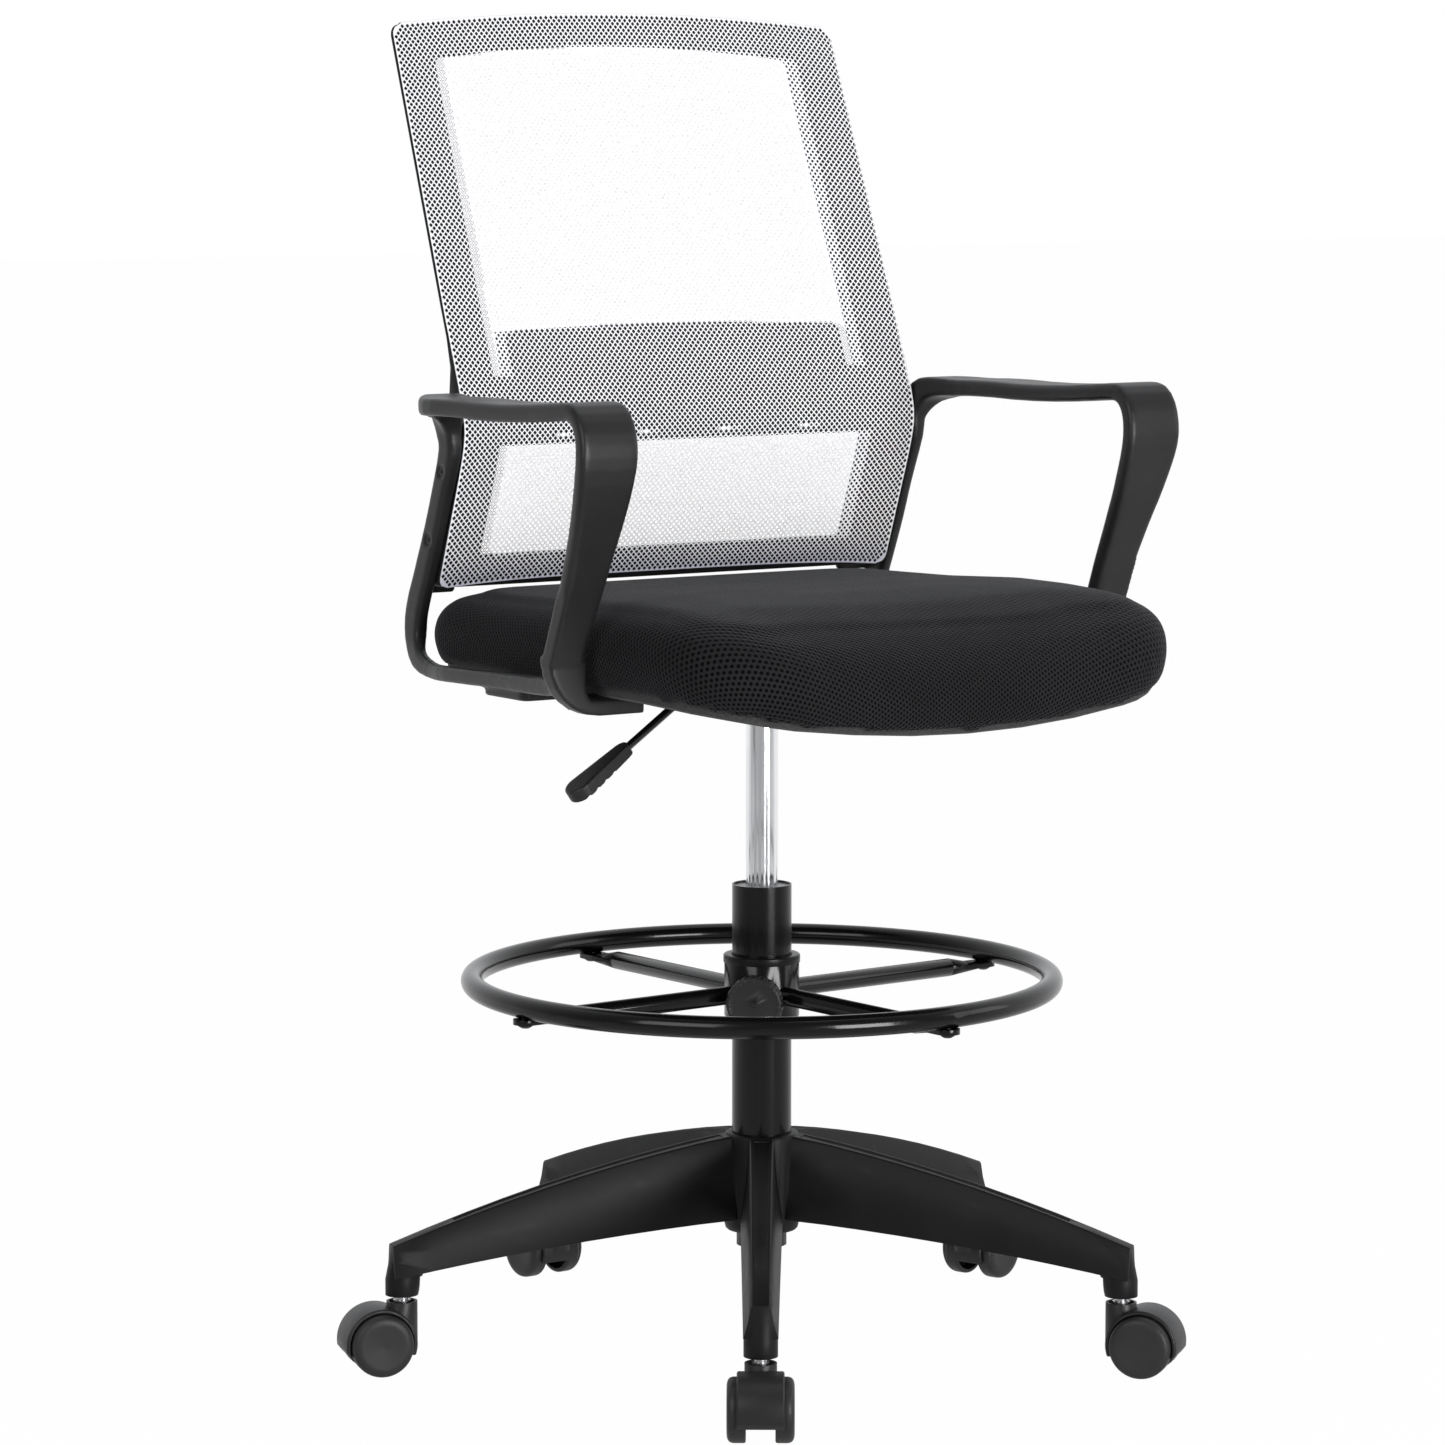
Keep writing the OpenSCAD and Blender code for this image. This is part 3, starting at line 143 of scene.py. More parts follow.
class Graph:
    # builds the nodes of one material or of the world
    def __init__(self, owner):
        owner.use_nodes = True
        self.owner, self.tree = owner, owner.node_tree
        self.tree.nodes.clear()

    def add(self, kind, settings=None, values=None, output=0):
        node = self.tree.nodes.new(kind)
        for key, value in (settings or {}).items():
            setattr(node, key, value)
        for key, value in (values or {}).items():
            socket = node.inputs[key]
            if isinstance(value, Wire):
                self.tree.links.new(value.socket, socket)
            else:
                socket.default_value = value
        return Wire(self, node.outputs[output]) if node.outputs else None

    def place(self):
        return self.add("ShaderNodeTexCoord", output="Object")

    def clothPlace(self):
        return self.add("ShaderNodeUVMap", {"uv_map": "cloth"})

    def stretched(self, vector, scale, turn=0.0):
        # turn is about z, in radians
        values = {"Vector": vector, "Scale": scale, "Rotation": (0, 0, turn)}
        return self.add("ShaderNodeMapping", {}, values)

    def noise(self, vector, scale, detail=2.0, rough=0.5):
        values = {"Vector": vector, "Scale": scale, "Detail": detail, "Roughness": rough}
        return self.add("ShaderNodeTexNoise", {}, values)

    def split(self, vector):
        x = self.add("ShaderNodeSeparateXYZ", {}, {"Vector": vector})
        return [Wire(self, socket) for socket in x.socket.node.outputs]

    def blend(self, factor, first, second):
        # a colour is four numbers or a wire; sockets 6 and 7 are the node's two colours
        settings = {"data_type": "RGBA", "clamp_factor": True}
        return self.add("ShaderNodeMix", settings, {0: factor, 6: first, 7: second}, output=2)

    def bump(self, height, distance):
        values = {"Height": height, "Distance": distance, "Strength": 1.0}
        return self.add("ShaderNodeBump", {}, values)

    def surface(self, values):
        shader = self.add("ShaderNodeBsdfPrincipled", {}, values)
        self.add("ShaderNodeOutputMaterial", {}, {"Surface": shader})
        return self.owner


def newMaterial(name):
    return Graph(bpy.data.materials.new(name))


def grey(value, blue=0.0):
    return (value, value, value * (1 + blue), 1.0)


# spark-eroded nylon: fine pits, cloudy sheen, faint rubbed patches

nylon = {
    "pitScale": 1500, "pitRough": 0.08,
    "cloudScale": 14, "cloudRamp": (0.3, 0.7), "cloudShare": 0.7, "cloudRough": 0.10,
    "rubScale": 34, "rubStretch": (1, 1, 2.6), "rubRamp": (0.56, 0.74), "rubShare": 0.3, "rubPolish": 0.06,
    "darkBlue": 0.06, "lightBlue": 0.05,
}


def mouldedPlastic(name, dark, light, rough, grain=0.00003, shine=0.33):
    g = newMaterial(name)
    at = g.place()
    pits = g.noise(at, nylon["pitScale"], rough=0.6)
    cloud = g.noise(at, nylon["cloudScale"], detail=3)
    rubbed = g.noise(g.stretched(at, nylon["rubStretch"]), nylon["rubScale"], detail=4, rough=0.6)
    rubbed = rubbed.ramp(*nylon["rubRamp"])
    paler = cloud.ramp(*nylon["cloudRamp"]) * nylon["cloudShare"] + rubbed * nylon["rubShare"]
    roughness = rough + (cloud - 0.5) * nylon["cloudRough"] - rubbed * nylon["rubPolish"]
    return g.surface({
        "Base Color": g.blend(paler, grey(dark, nylon["darkBlue"]), grey(light, nylon["lightBlue"])),
        "Roughness": roughness + (pits - 0.5) * nylon["pitRough"],
        "Specular IOR Level": shine, "Normal": g.bump(pits, grain),
    })


# powder coat that flowed out: soft orange peel under a clear shine, with dust nibs

coat = {
    "peelScale": 260, "peelShare": 0.7, "height": 0.00005,
    "nibScale": 900, "nibRamp": (0.72, 0.8), "nibShare": 0.3, "nibRough": 0.1,
    "cloudScale": 9, "cloudRamp": (0.35, 0.65), "cloudRough": 0.08,
    "darker": 0.85, "lighter": 1.2, "lightBlue": 0.04,
    "shine": 0.24, "clear": 0.18, "clearRough": 0.06,
}


def glossCoat(name, tone, rough):
    g = newMaterial(name)
    at = g.place()
    peel = g.noise(at, coat["peelScale"], rough=0.4)
    nibs = g.noise(at, coat["nibScale"], detail=1).ramp(*coat["nibRamp"])
    cloud = g.noise(at, coat["cloudScale"], detail=3)
    dark, light = grey(tone * coat["darker"]), grey(tone * coat["lighter"], coat["lightBlue"])
    return g.surface({
        "Base Color": g.blend(cloud.ramp(*coat["cloudRamp"]), dark, light),
        "Roughness": rough + (cloud - 0.5) * coat["cloudRough"] + nibs * coat["nibRough"],
        "Specular IOR Level": coat["shine"], "Coat Weight": coat["clear"], "Coat Roughness": coat["clearRough"],
        "Normal": g.bump(peel * coat["peelShare"] + nibs * coat["nibShare"], coat["height"]),
    })


# hard chrome over a ground tube, with a slight haze

chrome = {
    "hazeScale": 20, "hazeRamp": (0.3, 0.7), "hazeRough": 0.05,
    "dull": (0.82, 0.83, 0.86, 1), "bright": (0.90, 0.91, 0.93, 1), "rough": 0.22,
}


def polishedChrome(name):
    g = newMaterial(name)
    haze = g.noise(g.place(), chrome["hazeScale"], detail=3)
    return g.surface({
        "Base Color": g.blend(haze.ramp(*chrome["hazeRamp"]), chrome["dull"], chrome["bright"]),
        "Metallic": 1.0, "Roughness": chrome["rough"] + (haze - 0.5) * chrome["hazeRough"],
    })


# bright zinc: faint crystal mottling and turning marks

zinc = {
    "mottleScale": 420, "mottleRamp": (0.35, 0.65), "mottleRough": 0.2,
    "markScale": 300, "markStretch": (1, 1, 9), "height": 0.00001,
    "dull": grey(0.4675, 0.02), "bright": grey(0.605, 0.03), "rough": 0.28,
}


def platedSteel(name):
    g = newMaterial(name)
    at = g.place()
    mottle = g.noise(at, zinc["mottleScale"], detail=3, rough=0.6)
    marks = g.noise(g.stretched(at, zinc["markStretch"]), zinc["markScale"])
    return g.surface({
        "Base Color": g.blend(mottle.ramp(*zinc["mottleRamp"]), zinc["dull"], zinc["bright"]),
        "Metallic": 1.0, "Roughness": zinc["rough"] + (mottle - 0.5) * zinc["mottleRough"],
        "Normal": g.bump(marks, zinc["height"]),
    })


# blackened steel, worn brighter in spots

blackened = {
    "wornScale": 260, "wornRamp": (0.52, 0.7), "wornRough": 0.2, "height": 0.00002,
    "dark": grey(0.025), "worn": grey(0.11, 0.02), "metal": 0.7, "rough": 0.36,
}


def blackenedSteel(name):
    g = newMaterial(name)
    worn = g.noise(g.place(), blackened["wornScale"], detail=4, rough=0.65)
    return g.surface({
        "Base Color": g.blend(worn.ramp(*blackened["wornRamp"]), blackened["dark"], blackened["worn"]),
        "Metallic": blackened["metal"],
        "Roughness": blackened["rough"] + (worn - 0.5) * blackened["wornRough"],
        "Normal": g.bump(worn, blackened["height"]),
    })


# grey plastic of the guide bush, smeared lengthwise by the sliding cylinder

bush = {
    "smearScale": 160, "smearStretch": (1, 1, 0.2), "smearRamp": (0.3, 0.7), "smearRough": 0.15,
    "dark": grey(0.42, 0.02), "light": grey(0.58, 0.02), "rough": 0.34, "height": 0.00002,
}


def greyBush(name):
    g = newMaterial(name)
    smear = g.noise(g.stretched(g.place(), bush["smearStretch"]), bush["smearScale"], detail=3)
    return g.surface({
        "Base Color": g.blend(smear.ramp(*bush["smearRamp"]), bush["dark"], bush["light"]),
        "Roughness": bush["rough"] + (smear - 0.5) * bush["smearRough"],
        "Normal": g.bump(smear, bush["height"]),
    })


# thin black non-woven sheet glued under the board, with fibres in two directions

felt = {
    "fibres": (
        # stretch, turn in radians, scale
        ((1, 2.4, 1), 0.5, 700),
        ((2.4, 1, 1), -0.4, 600),
    ),
    "ramp": (0.38, 0.62), "dark": grey(0.012), "light": grey(0.045),
    "rough": 0.86, "sheen": 0.15, "height": 0.0001,
}


def underCloth(name):
    g = newMaterial(name)
    at = g.place()
    fibres, cross = (g.noise(g.stretched(at, stretch, turn), scale, detail=4, rough=0.7)
                     for stretch, turn, scale in felt["fibres"])
    both = fibres * 0.5 + cross * 0.5
    return g.surface({
        "Base Color": g.blend(both.ramp(*felt["ramp"]), felt["dark"], felt["light"]),
        "Roughness": felt["rough"], "Sheen Weight": felt["sheen"], "Normal": g.bump(both, felt["height"]),
    })


# spacer knit of the seat: staggered pits between raised yarn, the pits painted near black as painted shade,
# dusty sheen on the yarn

seatKnit = {
    "across": 0.0069, "rows": 0.0025,
    "hole": 0.00125, "holeRamp": (0.75, 1.35),  # a hole's radius, and the ramp in shares of it
    "fibreScale": 2600, "fibreRamp": (0.35, 0.7), "fibreShare": 0.6, "fibreRough": 0.2,
    "cloudScale": 9, "cloudRamp": (0.3, 0.7), "cloudShare": 0.4,
    # pitShade is painted shade in the knit's pits
    "pitShade": grey(0.0005), "dark": grey(0.011, 0.08), "light": grey(0.021, 0.08), "rough": 0.80, "shine": 0.06,
    "sheen": 0.12, "sheenRough": 0.35, "dust": grey(0.75, 0.06),
    "yarnHeight": 0.8, "fibreHeight": 0.2, "height": 0.0006,
}


def holeDistance(g, uv, across, pitch):
    # distance from the nearest hole of a staggered knit, in metres
    x, y, _ = g.split(uv)
    u, v = x / across, y / pitch

    def away(shift):
        du = abs((u + shift).fract() - 0.5) * across
        dv = abs((v + shift).fract() - 0.5) * pitch
        return (du * du + dv * dv).pow(0.5)
    return away(0.0).math("MINIMUM", away(0.5))


def seatFabric(name):
    g = newMaterial(name)
    uv = g.clothPlace()
    inner, outer = (seatKnit["hole"] * share for share in seatKnit["holeRamp"])
    yarn = holeDistance(g, uv, seatKnit["across"], 2 * seatKnit["rows"]).ramp(inner, outer)
    fibre = g.noise(uv, seatKnit["fibreScale"], detail=3, rough=0.7)
    cloud = g.noise(g.place(), seatKnit["cloudScale"], detail=3)
    paler = (fibre.ramp(*seatKnit["fibreRamp"]) * seatKnit["fibreShare"]
             + cloud.ramp(*seatKnit["cloudRamp"]) * seatKnit["cloudShare"])
    lit = g.blend(paler, seatKnit["dark"], seatKnit["light"])
    relief = yarn * seatKnit["yarnHeight"] + fibre * seatKnit["fibreHeight"]
    return g.surface({
        # the pits are painted near black as painted shade
        "Base Color": g.blend(yarn, seatKnit["pitShade"], lit),
        "Roughness": seatKnit["rough"] + (fibre - 0.5) * seatKnit["fibreRough"],
        "Specular IOR Level": seatKnit["shine"],
        "Sheen Weight": seatKnit["sheen"], "Sheen Roughness": seatKnit["sheenRough"],
        "Sheen Tint": seatKnit["dust"], "Normal": g.bump(relief, seatKnit["height"]),
    })


# white monofilament of the back: each yarn is round and slightly glossy; its lowest strip and the rims of holes
# over the frame carry painted shade, and its lower part is painted paler as painted light

backYarn = {
    "slantScale": 900, "slantStretch": (1, 0.25, 1), "slantRamp": (0.3, 0.7), "slantRough": 0.2,
    "slantTurn": 0.78,  # in radians
    # the yarn is painted paler below the lumbar line and darker above it, as painted light that evens out the
    # lamps
    "lowDark": (0.90, 0.90, 0.93, 1), "lowLight": (0.97, 0.97, 0.98, 1),
    # paintedShade is painted shade, a lavender grey on the lowest strip of yarn where the seat keeps light off
    # it
    "topDark": (0.83, 0.83, 0.86, 1), "topLight": (0.91, 0.91, 0.93, 1), "paintedShade": (0.60, 0.61, 0.74, 1),
    "paintedLightRamp": (-0.10, 0.06), "paintedShadeRamp": (-0.150, -0.105),  # heights over the lumbar line
    # rim is painted shade, near black, on the edges of holes that have the frame behind them
    "rim": grey(0.05), "rimShadeRamp": (0.52, 0.82),
    "rough": 0.5, "shine": 0.35, "sheen": 0.1, "height": 0.0002,
}


def backKnit(name):
    g = newMaterial(name)
    uv = g.clothPlace()
    _, y, _ = g.split(uv)
    slanted = g.stretched(uv, backYarn["slantStretch"], backYarn["slantTurn"])
    slant = g.noise(slanted, backYarn["slantScale"], detail=3, rough=0.6)
    streaks = slant.ramp(*backYarn["slantRamp"])
    low = g.blend(streaks, backYarn["lowDark"], backYarn["lowLight"])
    top = g.blend(streaks, backYarn["topDark"], backYarn["topLight"])
    # painted light: paler yarn below the lumbar line, darker above it
    yarn = g.blend(y.ramp(*backYarn["paintedLightRamp"]), low, top)
    # the lowest strip of yarn is painted lavender grey as painted shade
    yarn = g.blend(y.ramp(*backYarn["paintedShadeRamp"]), backYarn["paintedShade"], yarn)
    # hole rims over the frame are painted near black as painted shade
    rim = g.add("ShaderNodeAttribute", {"attribute_name": "rim"}, output="Fac")
    return g.surface({
        "Base Color": g.blend(rim.ramp(*backYarn["rimShadeRamp"]), yarn, backYarn["rim"]),
        "Roughness": backYarn["rough"] + (slant - 0.5) * backYarn["slantRough"],
        "Specular IOR Level": backYarn["shine"], "Sheen Weight": backYarn["sheen"],
        "Normal": g.bump(slant, backYarn["height"]),
    })


skins = {
    "base": mouldedPlastic("base nylon", dark=0.003, light=0.007, rough=0.48, shine=0.23),
    "arm": mouldedPlastic("arm nylon", dark=0.011, light=0.018, rough=0.40),
    "backFrame": mouldedPlastic("frame nylon", dark=0.006, light=0.010, rough=0.60),
    "caster": mouldedPlastic("caster nylon", dark=0.013, light=0.021, rough=0.40),
    "wheel": mouldedPlastic("wheel nylon", dark=0.017, light=0.026, rough=0.46),
    "dark": mouldedPlastic("knob plastic", dark=0.012, light=0.020, rough=0.42, grain=0.00001),
    "sleeve": mouldedPlastic("sleeve plastic", dark=0.004, light=0.007, rough=0.30, grain=0.00001, shine=0.20),
    "coat": glossCoat("gloss black coat", tone=0.003, rough=0.2),
    "plate": glossCoat("plate black coat", tone=0.008, rough=0.36),
    "chrome": polishedChrome("ground chrome"),
    "zinc": platedSteel("bright zinc"),
    "bolt": blackenedSteel("blackened bolts"),
    "bush": greyBush("bush plastic"),
    "under": underCloth("under cloth"),
    "seat": seatFabric("spacer knit"),
    "back": backKnit("white mesh"),
}
print("materials made:", len(skins))


# CAD nodes that stay

stays = {
    "thrust_bearing": "zinc", "retaining_clip": "zinc", "piston_rod": "zinc",
    "guide_bush": "bush", "pan_nuts": "zinc", "seat_pan": "under",
}
casters = range(1, 6)
for i in casters:
    stays[f"caster_axle_{i}"] = "zinc"
for node, skin in stays.items():
    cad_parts[node].data.materials.clear()
    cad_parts[node].data.materials.append(skins[skin])


# copies of CAD nodes: facets that share a point are merged before anything else

copying = {"mergeWithin": 0.000004, "flatWithin": 0.4, "bevelSteps": 2, "softness": 0.5, "meltedAngle": 50}


def mergedCopy(node, name):
    piece = linked(name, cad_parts[node].data.copy())
    workOn(piece)
    bpy.ops.object.mode_set(mode="EDIT")
    bpy.ops.mesh.select_all(action="SELECT")
    bpy.ops.mesh.remove_doubles(threshold=copying["mergeWithin"])
    bpy.ops.object.mode_set(mode="OBJECT")
    return piece


def applyModifier(piece, kind, **settings):
    modifier = piece.modifiers.new("step", kind)
    for key, value in settings.items():
        setattr(modifier, key, value)
    workOn(piece)
    bpy.ops.object.modifier_apply(modifier="step")


def remesh(piece, voxel):
    applyModifier(piece, "REMESH", mode="VOXEL", voxel_size=voxel)


def soften(piece, steps):
    applyModifier(piece, "SMOOTH", factor=copying["softness"], iterations=steps)


def shadeSmooth(angle):
    bpy.ops.object.shade_smooth_by_angle(angle=math.radians(angle))


# rounded copies: the same shape with merged facets, soft edges and smooth shading

rounded = {
    # node: (body, slot, skin, edge radius, smoothing angle)
    "base_star": ("base", "base_plastic", "base", 0.0009, 38),
    "column_tube": ("base", "black_steel", "coat", 0.0, 30),
    "gas_cylinder": ("seat", "chrome", "chrome", 0.0, 30),
    "release_button": ("button", "bright_steel", "zinc", 0.0, 30),
    "foot_ring": ("foot_rest", "black_steel", "coat", 0.0, 40),
    "ring_hub": ("foot_rest", "black_steel", "coat", 0.0006, 40),
    "ring_bush": ("foot_rest", "dark_plastic", "sleeve", 0.0004, 30),
    "ring_bolts": ("foot_rest", "dark_steel", "bolt", 0.0, 30),
    "clamp_knob": ("knob", "dark_plastic", "dark", 0.0, 40),
    "seat_plate": ("seat", "black_steel", "plate", 0.0005, 35),
    "lever_rod": ("lever", "black_steel", "coat", 0.0, 40),
    "seat_bolts": ("seat", "dark_steel", "bolt", 0.0, 30),
    "arm_bolts": ("seat", "dark_steel", "bolt", 0.0, 30),
}
for i in casters:
    rounded[f"caster_hood_{i}"] = (f"caster_{i}", "caster_plastic", "caster", 0.0004, 35)
    rounded[f"caster_stem_{i}"] = (f"caster_{i}", "bright_steel", "zinc", 0.0, 30)


def roundedCopy(node, body, slot, skin, edge, angle):
    piece = mergedCopy(node, "fine_" + node)
    bpy.ops.object.mode_set(mode="EDIT")
    bpy.ops.mesh.dissolve_limited(angle_limit=math.radians(copying["flatWithin"]))
    bpy.ops.object.mode_set(mode="OBJECT")
    if edge > 0:
        applyModifier(piece, "BEVEL", width=edge, segments=copying["bevelSteps"], limit_method="ANGLE",
                      angle_limit=math.radians(angle), use_clamp_overlap=True)
    shadeSmooth(angle)
    finish(piece, body, skin, node)


for node, spec in rounded.items():
    roundedCopy(node, *spec)
print("rounded copies made:", len(rounded))


# curved pieces melted into an even skin

melted = {
    # node: (body, slot, skin, voxel size, softening steps)
    "lever_paddle": ("lever", "dark_plastic", "dark", 0.0006, 6),
}
for i in casters:
    melted[f"wheel_left_{i}"] = (f"wheel_l_{i}", "wheel_plastic", "wheel", 0.0009, 4)
    melted[f"wheel_right_{i}"] = (f"wheel_r_{i}", "wheel_plastic", "wheel", 0.0009, 4)


def meltedCopy(node, body, slot, skin, voxel, steps):
    piece = mergedCopy(node, "fine_" + node)
    remesh(piece, voxel)
    soften(piece, steps)
    shadeSmooth(copying["meltedAngle"])
    finish(piece, body, skin, node)


for node, spec in melted.items():
    meltedCopy(node, *spec)
print("melted copies made:", len(melted))


# caps over the screws of the back, flush with the arms' rear posts

screwCaps = {"face": 0.2474, "angle": 30}

caps = mergedCopy("back_screws", "screw_caps")
for v in caps.data.vertices:
    v.co.x = clamp(v.co.x, -screwCaps["face"], screwCaps["face"])
shadeSmooth(screwCaps["angle"])
finish(caps, "seat", "arm", "back_screws")


# arms: moulded in one flow, so the copy, its knee and its foot are melted together

arms = {
    "voxel": 0.0018, "softSteps": 5,
    "level": (
        # place along the armrest, lift, spread
        (0.010, 0.0015, 0.030),
        (0.072, -0.0024, 0.024),
        (-0.178, 0.002, 0.028),
    ),
    "levelDepth": 0.03, "lipShort": 0.009, "lipLow": 0.645, "lipInside": 0.1,
    "kneeWide": 0.030, "kneeLow": 0.042, "kneeHigh": 0.107, "kneeLean": -0.0270, "kneeIn": 0.0005,
    "kneePick": 0.001, "heelIn": 0.012,
    "footFront": -0.125, "footDeep": 0.017, "footReach": 0.104, "footLong": 0.036, "footThick": 0.0125,
}


def addBlock(name, side, across, along, up):
    # each of the three is a pair from and to; across runs outwards from the chair's middle
    low, high = zip(sorted(side * x for x in across), along, up)
    middle = [(a + b) / 2 for a, b in zip(low, high)]
    clearSelection()
    bpy.ops.mesh.primitive_cube_add(size=1, location=middle, scale=[b - a for a, b in zip(low, high)])
    block = bpy.context.active_object
    block.name = name
    bpy.ops.object.transform_apply(location=True, rotation=True, scale=True)
    return block


def makeArm(node, side):
    piece = mergedCopy(node, "fine_" + node)
    low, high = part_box(node)
    outer = max(abs(low.x), abs(high.x))
    for v in piece.data.vertices:
        if v.co.z > high.z - arms["levelDepth"]:
            for place, lift, spread in arms["level"]:
                v.co.z += lift * math.exp(-((v.co.y - place) / spread) ** 2)
        if abs(v.co.x) < outer - arms["lipInside"] and v.co.z > arms["lipLow"]:
            v.co.x += side * arms["lipShort"]

    # the knee's top leans forward and a little inward with the front post
    depth = (arms["footFront"], arms["footFront"] + arms["footDeep"])
    heel, kneeTop = outer - arms["heelIn"], low.z + arms["kneeHigh"]
    knee = addBlock("knee", side, (heel - arms["kneeWide"], heel), depth, (low.z + arms["kneeLow"], kneeTop))
    bpy.ops.object.mode_set(mode="EDIT")
    bpy.ops.mesh.select_all(action="DESELECT")
    bpy.ops.object.mode_set(mode="OBJECT")
    for v in knee.data.vertices:
        v.select = v.co.z > kneeTop - arms["kneePick"]
    bpy.ops.object.mode_set(mode="EDIT")
    bpy.ops.transform.translate(value=(-side * arms["kneeIn"], arms["kneeLean"], 0))
    bpy.ops.object.mode_set(mode="OBJECT")

    toe = outer - arms["footReach"]
    foot = addBlock("foot", side, (toe, toe + arms["footLong"]), depth, (low.z, low.z + arms["footThick"]))
    clearSelection()
    for part in (knee, foot, piece):
        part.select_set(True)
    bpy.context.view_layer.objects.active = piece
    bpy.ops.object.join()
    remesh(piece, arms["voxel"])
    soften(piece, arms["softSteps"])
    bpy.ops.object.shade_smooth()
    finish(piece, "seat", "arm", node)


makeArm("arm_left", -1)
makeArm("arm_right", 1)
print("arms made")


# frame of the back: its lower edge is bowed, higher in the middle and lower at the corners

frameArch = {"rise": 0.004, "drop": 0.002, "power": 4, "fadeOver": 0.06, "angle": 40}
frameLow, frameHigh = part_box("back_frame")


def archLift(x, z):
    u = clamp(x / -frameLow.x, -1, 1) ** frameArch["power"]
    lift = frameArch["rise"] * (1 - u) - frameArch["drop"] * u
    return lift * clamp(1 - (z - frameLow.z) / frameArch["fadeOver"], 0, 1)


shell = mergedCopy("back_frame", "fine_back_frame")
for v in shell.data.vertices:
    v.co.z += archLift(v.co.x, v.co.z)
shadeSmooth(frameArch["angle"])
finish(shell, "seat", "backFrame", "back_frame")
print("back frame made")


# seat cushion: one knitted cover drawn over foam

cushion = {
    "voxel": 0.006, "softBefore": 6, "softAfter": 5,
    "level": (
        # place from front to back, lift
        (-0.32, 0.003), (-0.2, 0.007), (-0.1, 0.007), (0.0, 0.0015), (0.1, -0.001), (0.196, -0.002),
    ),
    "levelRamp": (0.60, 0.65),  # heights between which the levelling sets in
    "slack": 0.0015, "pressure": 4.0, "frames": 20, "evenSteps": 60,
    "mostSwell": 0.0022, "mostSink": 0.0006, "mostSlip": 0.0012,
    "heldBelow": -0.35, "seamBelow": -0.6,  # upward parts of the normals
    "topHalf": 0.12, "topFacing": 0.9,  # the patch that sets the knit's scale: half size, least upward part
}


def levelTop(piece):
    # the foam sits a little lower at the back and fuller towards the front than the plain solid
    places = placesOf(piece.data)
    along, lift = zip(*cushion["level"])
    low, high = cushion["levelRamp"]
    places[:, 2] += np.interp(places[:, 1], along, lift) * np.clip((places[:, 2] - low) / (high - low), 0, 1)
    piece.data.vertices.foreach_set("co", places.ravel())
    piece.data.update()


def evened(mesh, moved, held):
    # spread each point's move over its neighbours, so that the foam swells broadly and shows no lump
    ends = np.array([e.vertices[:] for e in mesh.edges])
    free = np.ones((len(moved), 1))
    free[held] = 0.0
    count = np.maximum(np.bincount(ends.ravel(), minlength=len(moved)), 1)[:, None]
    for step in range(cushion["evenSteps"]):
        total = np.zeros_like(moved)
        np.add.at(total, ends[:, 0], moved[ends[:, 1]])
        np.add.at(total, ends[:, 1], moved[ends[:, 0]])
        moved = (moved + total / count) / 2 * free
    return moved


def swell(piece):
    # the cover starts slack and is blown up like foam pressing from inside; its underside is held
    applyModifier(piece, "DISPLACE", strength=-cushion["slack"], mid_level=0.0)
    held = [v.index for v in piece.data.vertices if v.normal.z < cushion["heldBelow"]]
    piece.vertex_groups.new(name="held").add(held, 1.0, "REPLACE")
    start = placesOf(piece.data)
    outward = np.array([v.normal for v in piece.data.vertices])
    cloth = piece.modifiers.new("cloth", "CLOTH")
    cloth.settings.use_pressure = True
    cloth.settings.uniform_pressure_force = cushion["pressure"]
    cloth.settings.effector_weights.gravity = 0.0
    cloth.settings.vertex_group_mass = "held"
    cloth.point_cache.frame_start, cloth.point_cache.frame_end = 1, cushion["frames"]
    for step in range(1, cushion["frames"] + 1):
        bpy.context.scene.frame_set(step)
    blown = piece.evaluated_get(bpy.context.evaluated_depsgraph_get())
    moved = placesOf(blown.to_mesh()) - start
    blown.to_mesh_clear()
    piece.modifiers.remove(cloth)
    bpy.context.scene.frame_set(1)

    # the evened move is capped, along the surface and square to it
    moved = evened(piece.data, moved, held)
    out = (moved * outward).sum(axis=1, keepdims=True)
    slip = moved - out * outward
    far = np.linalg.norm(slip, axis=1, keepdims=True)
    slip *= np.minimum(1.0, cushion["mostSlip"] / np.maximum(far, 1e-9))  # never divides by zero
    out = np.clip(out, -cushion["mostSink"], cushion["mostSwell"])
    piece.data.vertices.foreach_set("co", (start + slip + out * outward).ravel())
    piece.data.update()
    piece.vertex_groups.clear()
    print("cushion swelled, mean and most in mm:", np.round(np.array([out.mean(), out.max()]) * 1000, 1))


